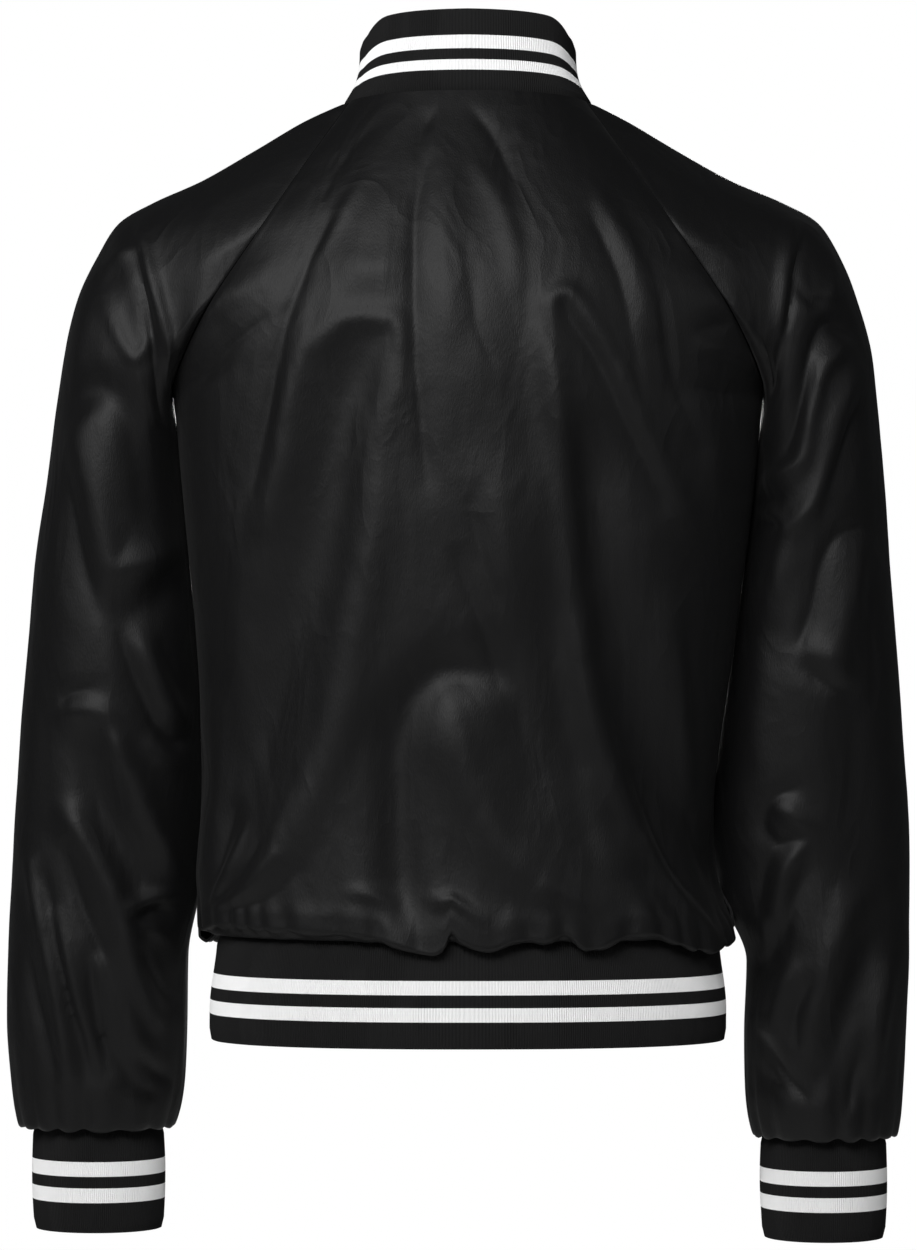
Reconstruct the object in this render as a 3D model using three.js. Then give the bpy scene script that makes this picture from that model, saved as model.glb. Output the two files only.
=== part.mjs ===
// A varsity jacket, worn and hollow: satin body and raglan sleeves, rib-knit collar, cuffs and
// waistband, and a snap-closed front.
// Millimetres. +Z is up, the front faces -Y, and the wearer's left hand is at +X.
// The origin is in the middle of the neck, level with the sides of the neck seam.
import * as THREE from 'three';

// ---------- Driving sizes ----------
const SATIN_WALL = 1.6;
const RIB_WALL = 2.6;
const SEAM_GAP = 0.3;

const FRONT_LAP = 14;             // how far each front runs past the middle
const LAP_DIP = SATIN_WALL + 0.5; // the right front dips this far in, under the left one
const LAP_EASE = 20;              // and comes back to the body over this width
const BUTT_GAP = 0.4;             // between the two fronts where they stop lapping at the hem

const WAISTBAND_TOP = -594;
const WAISTBAND_BOTTOM = -670;
const CUFF_TOP = -735;
const CUFF_BOTTOM = -811;
const RIGHT_SLEEVE_DROP = 7;      // how much lower the right arm hangs at its cuff

const SNAP_RADIUS = 7.5;
const SNAP_HEIGHT = 2.4;
const SNAP_SIDES = 16;
// A snap's cap, from the middle of its flat underside to the middle of its domed top.
const SNAP_PROFILE = [
  { radius: 0, height: 0 },
  { radius: 0.9 * SNAP_RADIUS, height: 0 },
  { radius: SNAP_RADIUS, height: 0.2 * SNAP_HEIGHT },
  { radius: 0.86 * SNAP_RADIUS, height: 0.67 * SNAP_HEIGHT },
  { radius: 0.5 * SNAP_RADIUS, height: SNAP_HEIGHT },
  { radius: 0, height: SNAP_HEIGHT },
];
const SNAP_GAP = 0.45;
const FRONT_SNAPS = 5;
const FIRST_SNAP_Z = -100;
const LAST_SNAP_Z = -548;

const ROUND = 0.83;               // 1 is an ellipse; less squares the torso's sections off
const SLEEVE_ROUND = 0.86;        // and the sleeve's
const FOLD_STEPS = 16;            // samples along each fold's line
const FOLD_END = 0.06;            // a fold ends this little short of nothing

// ---------- Colours ----------
const SATIN_BLACK = { color: 0x0c0c0e, roughness: 0.36, metalness: 0 };
const RIB_BLACK = { color: 0x161617, roughness: 0.9, metalness: 0 };
const SNAP_BLACK = { color: 0x0a0a0b, roughness: 0.3, metalness: 0.4 };

// ---------- Section tables ----------
// The back's rows above the underarm: where the row meets the raglan seam, and its middle.
const BACK_YOKE = [
  { row: 0.00, seamX: 85, seamY: 28, seamZ: 1, middleY: 64, middleZ: 6 },
  { row: 0.20, seamX: 119, seamY: 64, seamZ: -50, middleY: 92, middleZ: -46 },
  { row: 0.40, seamX: 151, seamY: 85, seamZ: -99, middleY: 115, middleZ: -96 },
  { row: 0.58, seamX: 178, seamY: 85, seamZ: -139, middleY: 126, middleZ: -137 },
  { row: 0.70, seamX: 194, seamY: 71, seamZ: -166, middleY: 130, middleZ: -164 },
  { row: 0.82, seamX: 206, seamY: 47, seamZ: -190, middleY: 131, middleZ: -190 },
  { row: 0.92, seamX: 211, seamY: 24, seamZ: -202, middleY: 131, middleZ: -205 },
  { row: 1.00, seamX: 212, seamY: 0, seamZ: -207, middleY: 131, middleZ: -215 },
];
const FRONT_YOKE = [
  { row: 0.00, seamX: 74, seamY: 60, seamZ: -27, middleY: 97, middleZ: -72 },
  { row: 0.22, seamX: 106, seamY: 82, seamZ: -75, middleY: 107, middleZ: -105 },
  { row: 0.44, seamX: 140, seamY: 92, seamZ: -124, middleY: 114, middleZ: -142 },
  { row: 0.64, seamX: 171, seamY: 86, seamZ: -164, middleY: 119, middleZ: -178 },
  { row: 0.82, seamX: 198, seamY: 58, seamZ: -192, middleY: 121, middleZ: -208 },
  { row: 0.92, seamX: 209, seamY: 31, seamZ: -203, middleY: 122, middleZ: -222 },
  { row: 1.00, seamX: 212, seamY: 0, seamZ: -207, middleY: 122, middleZ: -235 },
];
// The torso's sections from the underarm to the waistband, where the satin turns in under itself.
// shift leans a section towards the wearer's left. sag is how much lower the front's middle lies.
const TORSO_SECTIONS = [
  { z: -207, half: 212, shift: 0, back: 131, front: 122, backSag: 8, frontSag: 28 },
  { z: -250, half: 208, shift: 0, back: 129, front: 121, backSag: 5, frontSag: 18 },
  { z: -300, half: 203, shift: 0, back: 127, front: 120, backSag: 2, frontSag: 8 },
  { z: -350, half: 197, shift: 1, back: 124, front: 119, backSag: 0, frontSag: 2 },
  { z: -400, half: 192, shift: 2, back: 121, front: 118, backSag: 0, frontSag: 0 },
  { z: -450, half: 187, shift: 5, back: 118, front: 117, backSag: 0, frontSag: 0 },
  { z: -500, half: 184, shift: 7.5, back: 117, front: 117, backSag: 0, frontSag: 0 },
  { z: -540, half: 185.5, shift: 8.5, back: 118, front: 118, backSag: 0, frontSag: 0 },
  { z: -568, half: 189, shift: 5.5, back: 120, front: 121, backSag: 0, frontSag: 0 },
  { z: -585, half: 192.5, shift: 2, back: 122, front: 123, backSag: 0, frontSag: 0 },
  { z: -595, half: 193, shift: 1, back: 122, front: 123, backSag: 0, frontSag: 0 },
  { z: -599, half: 188, shift: 0, back: 118, front: 117, backSag: 0, frontSag: 0 },
  { z: WAISTBAND_TOP, half: 181, shift: 0, back: 112, front: 110, backSag: 0, frontSag: 0 },
];
// The sleeve's rings from the armhole to the cuff: the outermost and the innermost point of each,
// for the left and the right sleeve, the middle of its depth, and half of its depth.
const SLEEVE_RINGS = [
  { outZ: -2, inZ: -207, outLeft: 93, inLeft: 212, outRight: 93, inRight: 212,
    midY: -6, depth: 90 },
  { outZ: -14, inZ: -212, outLeft: 120, inLeft: 213.4, outRight: 117, inRight: 213.4,
    midY: -4, depth: 88 },
  { outZ: -35, inZ: -217, outLeft: 156, inLeft: 213.2, outRight: 153, inRight: 213.2,
    midY: -3, depth: 86 },
  { outZ: -55, inZ: -223, outLeft: 192, inLeft: 212.6, outRight: 191, inRight: 212.6,
    midY: -3, depth: 85 },
  { outZ: -69, inZ: -230, outLeft: 226, inLeft: 211.4, outRight: 226, inRight: 211.4,
    midY: -5, depth: 84 },
  { outZ: -83, inZ: -239, outLeft: 251, inLeft: 209.6, outRight: 252, inRight: 209.6,
    midY: -8, depth: 84 },
  { outZ: -107, inZ: -250, outLeft: 267, inLeft: 208.1, outRight: 268, inRight: 208.1,
    midY: -13, depth: 84 },
  { outZ: -138, inZ: -263, outLeft: 281, inLeft: 206.8, outRight: 281, inRight: 206.8,
    midY: -17, depth: 83 },
  { outZ: -179, inZ: -280, outLeft: 291, inLeft: 205.0, outRight: 292, inRight: 205.0,
    midY: -19, depth: 82 },
  { outZ: -222, inZ: -304, outLeft: 298, inLeft: 202.3, outRight: 296, inRight: 202.3,
    midY: -20, depth: 80 },
  { outZ: -274, inZ: -335, outLeft: 305, inLeft: 199.6, outRight: 301, inRight: 198.3,
    midY: -21, depth: 77 },
  { outZ: -325, inZ: -370, outLeft: 312, inLeft: 196.3, outRight: 305, inRight: 193.6,
    midY: -22, depth: 74 },
  { outZ: -384, inZ: -412, outLeft: 317.5, inLeft: 193.6, outRight: 310, inRight: 188.4,
    midY: -22, depth: 71 },
  { outZ: -441, inZ: -456, outLeft: 323, inLeft: 192.0, outRight: 314, inRight: 181.8,
    midY: -24, depth: 68 },
  { outZ: -499, inZ: -504, outLeft: 327.5, inLeft: 190.8, outRight: 318.5, inRight: 175.4,
    midY: -28, depth: 66 },
  { outZ: -557, inZ: -557, outLeft: 331, inLeft: 193.2, outRight: 320, inRight: 180.4,
    midY: -33, depth: 65 },
  { outZ: -614, inZ: -612, outLeft: 333, inLeft: 203, outRight: 319.5, inRight: 202.5,
    midY: -35, depth: 64 },
  { outZ: -664, inZ: -662, outLeft: 334, inLeft: 204, outRight: 317.5, inRight: 201,
    midY: -39, depth: 63 },
  { outZ: -703, inZ: -702, outLeft: 332, inLeft: 206, outRight: 316, inRight: 202,
    midY: -43, depth: 61 },
  { outZ: -726, inZ: -726, outLeft: 329, inLeft: 210, outRight: 314, inRight: 205,
    midY: -44, depth: 58 },
  { outZ: -737, inZ: -737, outLeft: 325, inLeft: 215, outRight: 311, inRight: 209,
    midY: -44, depth: 54 },
  { outZ: CUFF_TOP, inZ: CUFF_TOP, outLeft: 316.4, inLeft: 221.6, outRight: 304.4, inRight: 213.6,
    midY: -44, depth: 46.4 },
];
const CUFF_RINGS = {
  left: { outTop: 316, inTop: 222, outBottom: 315, inBottom: 222 },
  right: { outTop: 304, inTop: 214, outBottom: 303, inBottom: 215 },
};
const CUFF_MID_Y = -44;
const CUFF_DEPTH = 46;
const CUFF_SWELL = 1.6;
// The waistband's two edges.
const BAND_TOP = { half: 180, back: 111, front: 109 };
const BAND_BOTTOM = { half: 185.5, back: 115, front: 113 };
// The curve of the neck seam at the side of the neck is drawn towards these points.
const NECK_SIDE = { x: 97, backY: 6, frontY: -38, frontZ: -8 };
// The collar, from the middle of the back (0) to its end at the middle of the front (1).
const COLLAR = [
  { along: 0.00, height: 58, lean: 0.06 },
  { along: 0.20, height: 57, lean: 0.15 },
  { along: 0.36, height: 49, lean: 0.29 },
  { along: 0.50, height: 46, lean: 0.33 },
  { along: 0.70, height: 42, lean: 0.36 },
  { along: 0.92, height: 39, lean: 0.36 },
  { along: 1.00, height: 26, lean: 0.30 },
];
// The gap under the collar's foot, along it in the same way.
const COLLAR_GAP = [
  { along: 0.5, gap: 0.5 },
  { along: 0.7, gap: 0.9 },
];
// The way out of the wall at the raglan seam, so that both edges are cut at one angle.
const SEAM_WAY = [
  { row: 0.00, side: 0.40, away: 0.60, up: 0.70 },
  { row: 0.50, side: 0.35, away: 0.93, up: 0.10 },
  { row: 0.80, side: 0.35, away: 0.85, up: -0.25 },
  { row: 1.00, side: 0.00, away: 0.00, up: -1.00 },
];

// ---------- Largest folds ----------
// Each runs from a start, past a bend, to an end. width is half its breadth, and height is how far
// it stands out of the cloth, or sinks where it is negative.
const BACK_FOLDS = [
  { x0: 35, z0: -27, x1: 38, z1: -170, x2: 26, z2: -275, width: 16, height: -4.5 },
  { x0: 97, z0: -90, x1: 126, z1: -170, x2: 143, z2: -285, width: 20, height: -6.5 },
  { x0: 112, z0: -178, x1: 82, z1: -152, x2: 50, z2: -165, width: 15, height: 4.5 },
  { x0: 51, z0: -176, x1: 70, z1: -300, x2: 112, z2: -430, width: 18, height: 5.5 },
  { x0: 112, z0: -430, x1: 130, z1: -500, x2: 156, z2: -566, width: 18, height: 5.0 },
  { x0: 122, z0: -300, x1: 108, z1: -350, x2: 92, z2: -440, width: 20, height: -6.0 },
  { x0: -76, z0: -160, x1: -112, z1: -230, x2: -150, z2: -300, width: 16, height: -6.0 },
  { x0: -63, z0: -146, x1: -90, z1: -196, x2: -128, z2: -240, width: 14, height: 4.5 },
  { x0: -56, z0: -176, x1: -72, z1: -300, x2: -96, z2: -420, width: 18, height: 6.0 },
  { x0: -96, z0: -420, x1: -120, z1: -500, x2: -168, z2: -578, width: 18, height: 6.0 },
  { x0: 22, z0: -388, x1: 50, z1: -430, x2: 50, z2: -565, width: 19, height: -6.5 },
  { x0: 22, z0: -410, x1: -4, z1: -500, x2: -80, z2: -570, width: 20, height: 5.5 },
  { x0: -60, z0: -430, x1: -88, z1: -500, x2: -126, z2: -568, width: 17, height: -5.5 },
  { x0: 0, z0: -60, x1: -6, z1: -180, x2: -18, z2: -330, width: 34, height: 4.0 },
];
const FRONT_FOLDS = [
  { x0: 72, z0: -120, x1: 96, z1: -230, x2: 88, z2: -350, width: 20, height: 5.5 },
  { x0: 128, z0: -170, x1: 118, z1: -280, x2: 138, z2: -390, width: 19, height: -6.0 },
  { x0: 58, z0: -300, x1: 70, z1: -420, x2: 60, z2: -560, width: 20, height: 5.5 },
  { x0: 104, z0: -380, x1: 96, z1: -470, x2: 118, z2: -566, width: 18, height: -6.0 },
  { x0: 150, z0: -420, x1: 140, z1: -500, x2: 156, z2: -570, width: 17, height: 5.0 },
  { x0: -66, z0: -130, x1: -92, z1: -250, x2: -108, z2: -360, width: 20, height: 5.5 },
  { x0: -130, z0: -180, x1: -134, z1: -270, x2: -122, z2: -380, width: 19, height: -6.0 },
  { x0: -60, z0: -330, x1: -78, z1: -440, x2: -92, z2: -566, width: 19, height: -5.5 },
  { x0: -118, z0: -400, x1: -124, z1: -480, x2: -140, z2: -568, width: 18, height: 5.5 },
];
// On a sleeve the way across is an angle: 0 at the body, 90 at the back, 180 outside, 270 in front.
const LEFT_SLEEVE_FOLDS = [
  { x0: 150, z0: -90, x1: 112, z1: -150, x2: 84, z2: -235, width: 17, height: -6.5 },
  { x0: 168, z0: -120, x1: 150, z1: -200, x2: 120, z2: -300, width: 16, height: 5.0 },
  { x0: 60, z0: -300, x1: 96, z1: -330, x2: 150, z2: -372, width: 16, height: 5.0 },
  { x0: 50, z0: -400, x1: 92, z1: -448, x2: 140, z2: -430, width: 15, height: -6.0 },
  { x0: 52, z0: -470, x1: 100, z1: -520, x2: 168, z2: -560, width: 16, height: 5.5 },
  { x0: 56, z0: -560, x1: 100, z1: -610, x2: 160, z2: -640, width: 15, height: -5.0 },
  { x0: 200, z0: -330, x1: 250, z1: -400, x2: 310, z2: -420, width: 17, height: -5.5 },
  { x0: 200, z0: -470, x1: 250, z1: -500, x2: 310, z2: -470, width: 16, height: 5.5 },
  { x0: 196, z0: -600, x1: 240, z1: -570, x2: 306, z2: -590, width: 16, height: -5.0 },
];
const RIGHT_SLEEVE_FOLDS = [
  { x0: 148, z0: -92, x1: 116, z1: -150, x2: 92, z2: -215, width: 16, height: -6.0 },
  { x0: 168, z0: -150, x1: 128, z1: -210, x2: 72, z2: -280, width: 15, height: 5.0 },
  { x0: 170, z0: -225, x1: 128, z1: -290, x2: 64, z2: -325, width: 15, height: 5.0 },
  { x0: 156, z0: -265, x1: 112, z1: -335, x2: 60, z2: -372, width: 16, height: -5.5 },
  { x0: 60, z0: -450, x1: 100, z1: -500, x2: 150, z2: -540, width: 16, height: 5.0 },
  { x0: 150, z0: -560, x1: 100, z1: -600, x2: 56, z2: -650, width: 16, height: -5.5 },
  { x0: 200, z0: -320, x1: 250, z1: -370, x2: 312, z2: -400, width: 17, height: 5.5 },
  { x0: 196, z0: -420, x1: 248, z1: -452, x2: 310, z2: -430, width: 16, height: -6.0 },
  { x0: 200, z0: -560, x1: 250, z1: -610, x2: 310, z2: -640, width: 16, height: 5.0 },
];
const SLEEVE_FOLD_RADIUS = 62;    // turns a sleeve fold's angle into a length
const FADE_EDGE = 0.12;           // share of a panel over which its folds fade at a seam
const FADE_ARMHOLE = 3;           // sleeve rings over which they fade in
const FADE_HEM = 3.5;             // sections or rings over which they fade at a hem

// ---------- Gathers ----------
const BACK_GATHERS = 13;
const FRONT_GATHERS = 6;          // on each front
const HEM_GATHER_HEIGHT = 3.2;
const CUFF_GATHERS = 14;
const CUFF_GATHER_HEIGHT = 2.6;
// How the puckers' places wander along the edge, twice over, and how their height does.
const GATHER_WANDER = [
  { size: 0.30, rate: 7.1, start: 0.6 },
  { size: 0.22, rate: 17.3, start: 0 },
  { size: 0.25, rate: 23.7, start: 1.1 },
];
const GATHER_LENGTH = 1.5;        // sections or rings over which the puckers rise, and fall again

// ---------- Where forms change, as places in the tables ----------
const LAP_ENDS = 9;               // torso section from which the lap narrows to a butt joint
const LAP_DIP_ENDS = 10;          // and from which the right front comes back out
const SHOULDER_RINGS = 5;         // sleeve rings from the armhole to the tip of the shoulder
const DROP_FROM = 10;             // sleeve ring from which the right arm hangs lower
const DROP_RINGS = 9;
const UNDERARM_ROW = 0.7;         // yoke row from which the raglan seam turns under the arm
const COLLAR_SPAN = 0.993;        // of the neck seam, so that the collar's ends stay apart
const NECK_MIDDLE_Y = -15;        // the collar leans towards this line
const BAND_LAP = 0.035;           // share of the waistband that dips under its other end
const BAND_DIP = RIB_WALL + 0.5;  // how far in it dips
const BAND_PAST = 0.9;            // of the fronts' lap
const BAND_SPREAD = 1.4;          // above 1, the waistband reaches its full size above its edge

// ---------- How finely each wall is divided ----------
const BACK_COLUMNS = 26;
const FRONT_COLUMNS = 12;
const BACK_YOKE_ROWS = 11;
const FRONT_YOKE_ROWS = 10;
const NECK_STEPS = 3;             // of the sleeve's ring, along the side of the neck
const SLEEVE_COLUMNS = BACK_YOKE_ROWS + NECK_STEPS + FRONT_YOKE_ROWS;
const TORSO_FINE_FROM = 8;        // the torso section from which the columns are doubled
const SLEEVE_FINE_FROM = 17;      // and the sleeve ring
const BAND_COLUMNS = 64;
const COLLAR_COLUMNS = 36;
const COLLAR_ROWS = 4;
const RIB_ROWS = 2;                // of the waistband and the cuffs
const CUFF_COLUMNS = 28;

// ---------- Small helpers ----------
const NEAR = 0.01;                // step between two neighbouring places on a form
const lerp = THREE.MathUtils.lerp;
const smooth = (x) => THREE.MathUtils.smoothstep(x, 0, 1);
const power = (x, p) => Math.sign(x) * Math.pow(Math.abs(x), p);
const point = (x, y, z) => new THREE.Vector3(x, y, z);

// A curve through a table's rows that never overshoots them (monotone cubic).
function curve(rows, key, value) {
  const x = rows.map((row, i) => (key ? row[key] : i));
  const y = rows.map((row) => row[value]);
  const step = (i) => x[i + 1] - x[i];
  const rise = (i) => (y[i + 1] - y[i]) / step(i);
  const last = x.length - 1;
  const tangent = x.map((_, i) => {
    if (i === 0) return rise(0);
    if (i === last) return rise(last - 1);
    const before = rise(i - 1);
    const after = rise(i);
    if (before * after <= 0) return 0;
    const a = 2 * step(i) + step(i - 1);
    const b = step(i) + 2 * step(i - 1);
    return (a + b) / (a / before + b / after);
  });
  return (at) => {
    const clamped = Math.min(x[last], Math.max(x[0], at));
    let i = 0;
    while (i < last - 1 && clamped > x[i + 1]) i += 1;
    const h = step(i);
    const t = (clamped - x[i]) / h;
    const t2 = t * t;
    const t3 = t2 * t;
    return (2 * t3 - 3 * t2 + 1) * y[i] + (t3 - 2 * t2 + t) * h * tangent[i]
      + (3 * t2 - 2 * t3) * y[i + 1] + (t3 - t2) * h * tangent[i + 1];
  };
}

// One curve for each named column of a table.
function curves(rows, key) {
  const names = Object.keys(rows[0]).filter((name) => name !== key);
  return Object.fromEntries(names.map((name) => [name, curve(rows, key, name)]));
}

const backYoke = curves(BACK_YOKE, 'row');
const frontYoke = curves(FRONT_YOKE, 'row');
const torso = curves(TORSO_SECTIONS, null);
const sleeveRing = curves(SLEEVE_RINGS, null);
const collarAt = curves(COLLAR, 'along');
const footGap = curve(COLLAR_GAP, 'along', 'gap');
const seamWay = curves(SEAM_WAY, 'row');
const TORSO_LAST = TORSO_SECTIONS.length - 1;
const SLEEVE_LAST = SLEEVE_RINGS.length - 1;

// Height of a table of folds at one place. Each fold is a smooth bump along a bent line.
function foldHeight(folds, x, z, across = 1) {
  let height = 0;
  for (const fold of folds) {
    let nearest = Infinity;
    let along = 0;
    for (let i = 0; i <= FOLD_STEPS; i += 1) {
      const t = i / FOLD_STEPS;
      const s = 1 - t;
      const fx = s * s * fold.x0 + 2 * s * t * fold.x1 + t * t * fold.x2;
      const fz = s * s * fold.z0 + 2 * s * t * fold.z1 + t * t * fold.z2;
      const distance = Math.hypot((x - fx) * across, z - fz);
      if (distance < nearest) {
        nearest = distance;
        along = t;
      }
    }
    const fade = Math.sqrt(Math.sin(Math.PI * lerp(FOLD_END, 1 - FOLD_END, along)));
    height += fold.height * fade * Math.exp(-((nearest / fold.width) ** 2));
  }
  return height;
}

// Puckers of a gathered edge, uneven in width and depth.
function gatherHeight(along, count) {
  const wander = GATHER_WANDER.map(({ size, rate, start }) => size * Math.sin(rate * along + start));
  const phase = count * along + wander[0] + wander[1];
  return (1 - wander[2] - GATHER_WANDER[2].size) * Math.cos(2 * Math.PI * phase);
}

// ---------- The torso ----------
const BACK = 1;
const FRONT = -1;

// One row across the back or the front. Rows 0 to 1 lie in the yoke and end at the raglan seam,
// and rows from 1 on are the torso's sections and end at the side seam.
function torsoRow(face, row) {
  if (row <= 1) {
    const yoke = face === BACK ? backYoke : frontYoke;
    return {
      endX: yoke.seamX(row),
      endY: yoke.seamY(row),
      endZ: yoke.seamZ(row),
      middleY: yoke.middleY(row),
      middleZ: yoke.middleZ(row),
      shift: 0,
    };
  }
  const at = row - 1;
  const z = torso.z(at);
  return {
    endX: torso.half(at),
    endY: 0,
    endZ: z,
    middleY: face === BACK ? torso.back(at) : torso.front(at),
    middleZ: z - (face === BACK ? torso.backSag(at) : torso.frontSag(at)),
    shift: torso.shift(at),
  };
}

// A point of a row: across is 0 in the middle and 1 or -1 at its ends.
function torsoPoint(face, across, row) {
  const { endX, endY, endZ, middleY, middleZ, shift } = torsoRow(face, row);
  const endAngle = Math.asin(Math.pow(endY / middleY, 1 / ROUND));
  const angle = Math.PI / 2 - across * (Math.PI / 2 - endAngle);
  const reach = endX / Math.pow(Math.cos(endAngle), ROUND);
  return point(
    reach * power(Math.cos(angle), ROUND) + shift,
    face * middleY * power(Math.sin(angle), ROUND),
    lerp(middleZ, endZ, across * across),
  );
}

// The outward way at a point of the plain torso.
function torsoNormal(face, across, row) {
  const d = NEAR;
  const side = torsoPoint(face, across + d, row).sub(torsoPoint(face, across - d, row));
  const low = Math.max(0, row - d);
  const down = torsoPoint(face, across, row + d).sub(torsoPoint(face, across, low));
  return side.cross(down).normalize().multiplyScalar(face);
}

// The raglan seam: its point, its outward way, and the way across it from body to sleeve. Its gap
// is doubled where it turns under the arm.
function raglanSeam(face, side, row) {
  const at = torsoPoint(face, side, row);
  const d = NEAR;
  const ahead = torsoPoint(face, side, Math.min(1, row + d));
  const behind = torsoPoint(face, side, Math.max(0, row - d));
  const tangent = ahead.sub(behind).normalize();
  const out = point(side * seamWay.side(row), face * seamWay.away(row), seamWay.up(row));
  out.addScaledVector(tangent, -out.dot(tangent)).normalize();
  if (row === 1) out.set(0, 0, -1);
  const across = out.clone().cross(tangent).normalize();
  if (across.x * side < 0) across.negate();
  const gap = SEAM_GAP * (1 + smooth((row - UNDERARM_ROW) / 0.2));
  return { at, out, across, gap };
}

// How much of the folds is left near the seams, the neck and the hem.
function torsoFoldFade(across, row) {
  const atSide = smooth((1 - Math.abs(across)) / FADE_EDGE);
  const atNeck = smooth(row / FADE_EDGE);
  const atHem = smooth((1 + TORSO_LAST - row) / FADE_HEM);
  return atSide * atNeck * atHem;
}

// The height of the satin above the plain torso.
function torsoRelief(face, across, row, base) {
  const folds = face === BACK ? BACK_FOLDS : FRONT_FOLDS;
  const gathers = face === BACK ? BACK_GATHERS / 2 : FRONT_GATHERS;
  const rise = smooth((row - 1 - TORSO_FINE_FROM) / GATHER_LENGTH);
  const fall = smooth((TORSO_LAST + 1 - row) / GATHER_LENGTH);
  const besideSeam = smooth((1 - Math.abs(across)) / FADE_EDGE);
  const puckers = HEM_GATHER_HEIGHT * rise * fall * gatherHeight(face * across + 2, gathers);
  return foldHeight(folds, base.x, base.z) * torsoFoldFade(across, row) + puckers * besideSeam;
}

// ---------- Walls ----------
// A closed wall over a grid of rows. Each row is a list of { at, out } points, where out may be
// left for the wall to find. A row may have twice the points of the one before it.
function wallGeometry(rows, thickness, closed, flip) {
  const starts = [];
  const outer = [];
  rows.forEach((row) => {
    starts.push(outer.length);
    outer.push(...row);
  });
  const vertex = (j, i) => starts[j] + (closed ? i % rows[j].length : i);
  const cells = (j) => (closed ? rows[j].length : rows[j].length - 1);
  const faces = [];
  const add = (a, b, c) => faces.push(flip ? [a, c, b] : [a, b, c]);
  for (let j = 0; j < rows.length - 1; j += 1) {
    const count = cells(j);
    const doubled = cells(j + 1) === 2 * count;
    for (let i = 0; i < count; i += 1) {
      const a = vertex(j, i);
      const b = vertex(j, i + 1);
      if (doubled) {
        const c = vertex(j + 1, 2 * i);
        const d = vertex(j + 1, 2 * i + 1);
        const e = vertex(j + 1, 2 * i + 2);
        add(a, c, d);
        add(a, d, b);
        add(b, d, e);
      } else {
        const c = vertex(j + 1, i);
        const d = vertex(j + 1, i + 1);
        add(a, c, d);
        add(a, d, b);
      }
    }
  }
  const normals = outer.map(() => point(0, 0, 0));
  for (const [a, b, c] of faces) {
    const ab = outer[b].at.clone().sub(outer[a].at);
    const normal = ab.cross(outer[c].at.clone().sub(outer[a].at));
    [a, b, c].forEach((index) => normals[index].add(normal));
  }
  outer.forEach((vertexOuter, index) => {
    normals[index].normalize();
    if (vertexOuter.out) normals[index].copy(vertexOuter.out(normals[index]));
  });
  const total = outer.length;
  const positions = [];
  outer.forEach(({ at }) => positions.push(at.x, at.y, at.z));
  outer.forEach(({ at }, index) => {
    const inner = at.clone().addScaledVector(normals[index], -thickness);
    positions.push(inner.x, inner.y, inner.z);
  });
  const indices = [];
  faces.forEach(([a, b, c]) => {
    indices.push(a, b, c);
    indices.push(a + total, c + total, b + total);
  });
  const rim = (a, b) => {
    indices.push(b, a, a + total);
    indices.push(b, a + total, b + total);
  };
  const edges = new Map();
  faces.forEach(([a, b, c]) => {
    [[a, b], [b, c], [c, a]].forEach(([from, to]) => edges.set(`${from}_${to}`, [from, to]));
  });
  edges.forEach(([from, to]) => {
    if (!edges.has(`${to}_${from}`)) rim(from, to);
  });
  const geometry = new THREE.BufferGeometry();
  geometry.setAttribute('position', new THREE.Float32BufferAttribute(positions, 3));
  geometry.setIndex(indices);
  geometry.computeVertexNormals();
  return geometry;
}

function piece(name, geometry, finish) {
  const mesh = new THREE.Mesh(geometry, new THREE.MeshStandardMaterial(finish));
  mesh.name = name;
  return mesh;
}

const steps = (count) => Array.from({ length: count + 1 }, (_, i) => i / count);

// The rows of a torso panel, and whether each has doubled columns.
function torsoRows(yokeRows) {
  const yoke = steps(yokeRows).map((row) => ({ row, fine: false }));
  const lower = TORSO_SECTIONS.slice(1).map((_, i) => ({ row: i + 2, fine: i + 1 > TORSO_FINE_FROM }));
  return [...yoke, ...lower];
}

// One vertex of a torso panel, with its edge cut to leave the seam gap.
function torsoVertex(face, across, row, lift = 0) {
  const base = torsoPoint(face, across, row);
  const side = Math.sign(across);
  const atEdge = Math.abs(Math.abs(across) - 1) < NEAR / 10;
  if (atEdge && row <= 1) {
    const seam = raglanSeam(face, side, row);
    seam.at.addScaledVector(seam.across, -seam.gap / 2);
    if (row === 1) seam.at.y += face * SEAM_GAP / 2;
    return { at: seam.at, out: () => seam.out };
  }
  const height = torsoRelief(face, across, row, base) + lift;
  base.addScaledVector(torsoNormal(face, across, row), height);
  if (!atEdge) return { at: base };
  base.y += face * SEAM_GAP / 2;
  return { at: base, out: (normal) => point(normal.x, 0, normal.z).normalize() };
}

function makeBack() {
  const rows = torsoRows(BACK_YOKE_ROWS).map(({ row, fine }) => {
    const columns = fine ? 2 * BACK_COLUMNS : BACK_COLUMNS;
    return steps(columns).map((u) => torsoVertex(BACK, lerp(-1, 1, u), row));
  });
  return piece('back', wallGeometry(rows, SATIN_WALL, false, true), SATIN_BLACK);
}

// Where a row of the front reaches a distance past the middle.
function acrossAt(row, x) {
  const { endX, endY, middleY } = torsoRow(FRONT, row);
  const endAngle = Math.asin(Math.pow(endY / middleY, 1 / ROUND));
  const reach = endX / Math.pow(Math.cos(endAngle), ROUND);
  const angle = Math.asin(Math.pow(Math.abs(x) / reach, 1 / ROUND));
  return Math.sign(x) * angle / (Math.PI / 2 - endAngle);
}

// The right front dips under the left one along the middle, down to the last turn of the hem.
function lapDip(side, x, row) {
  if (side > 0) return 0;
  return -LAP_DIP * (1 - smooth((-x - LAP_EASE) / LAP_EASE)) * (1 - smooth(row - 1 - LAP_DIP_ENDS));
}

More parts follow.
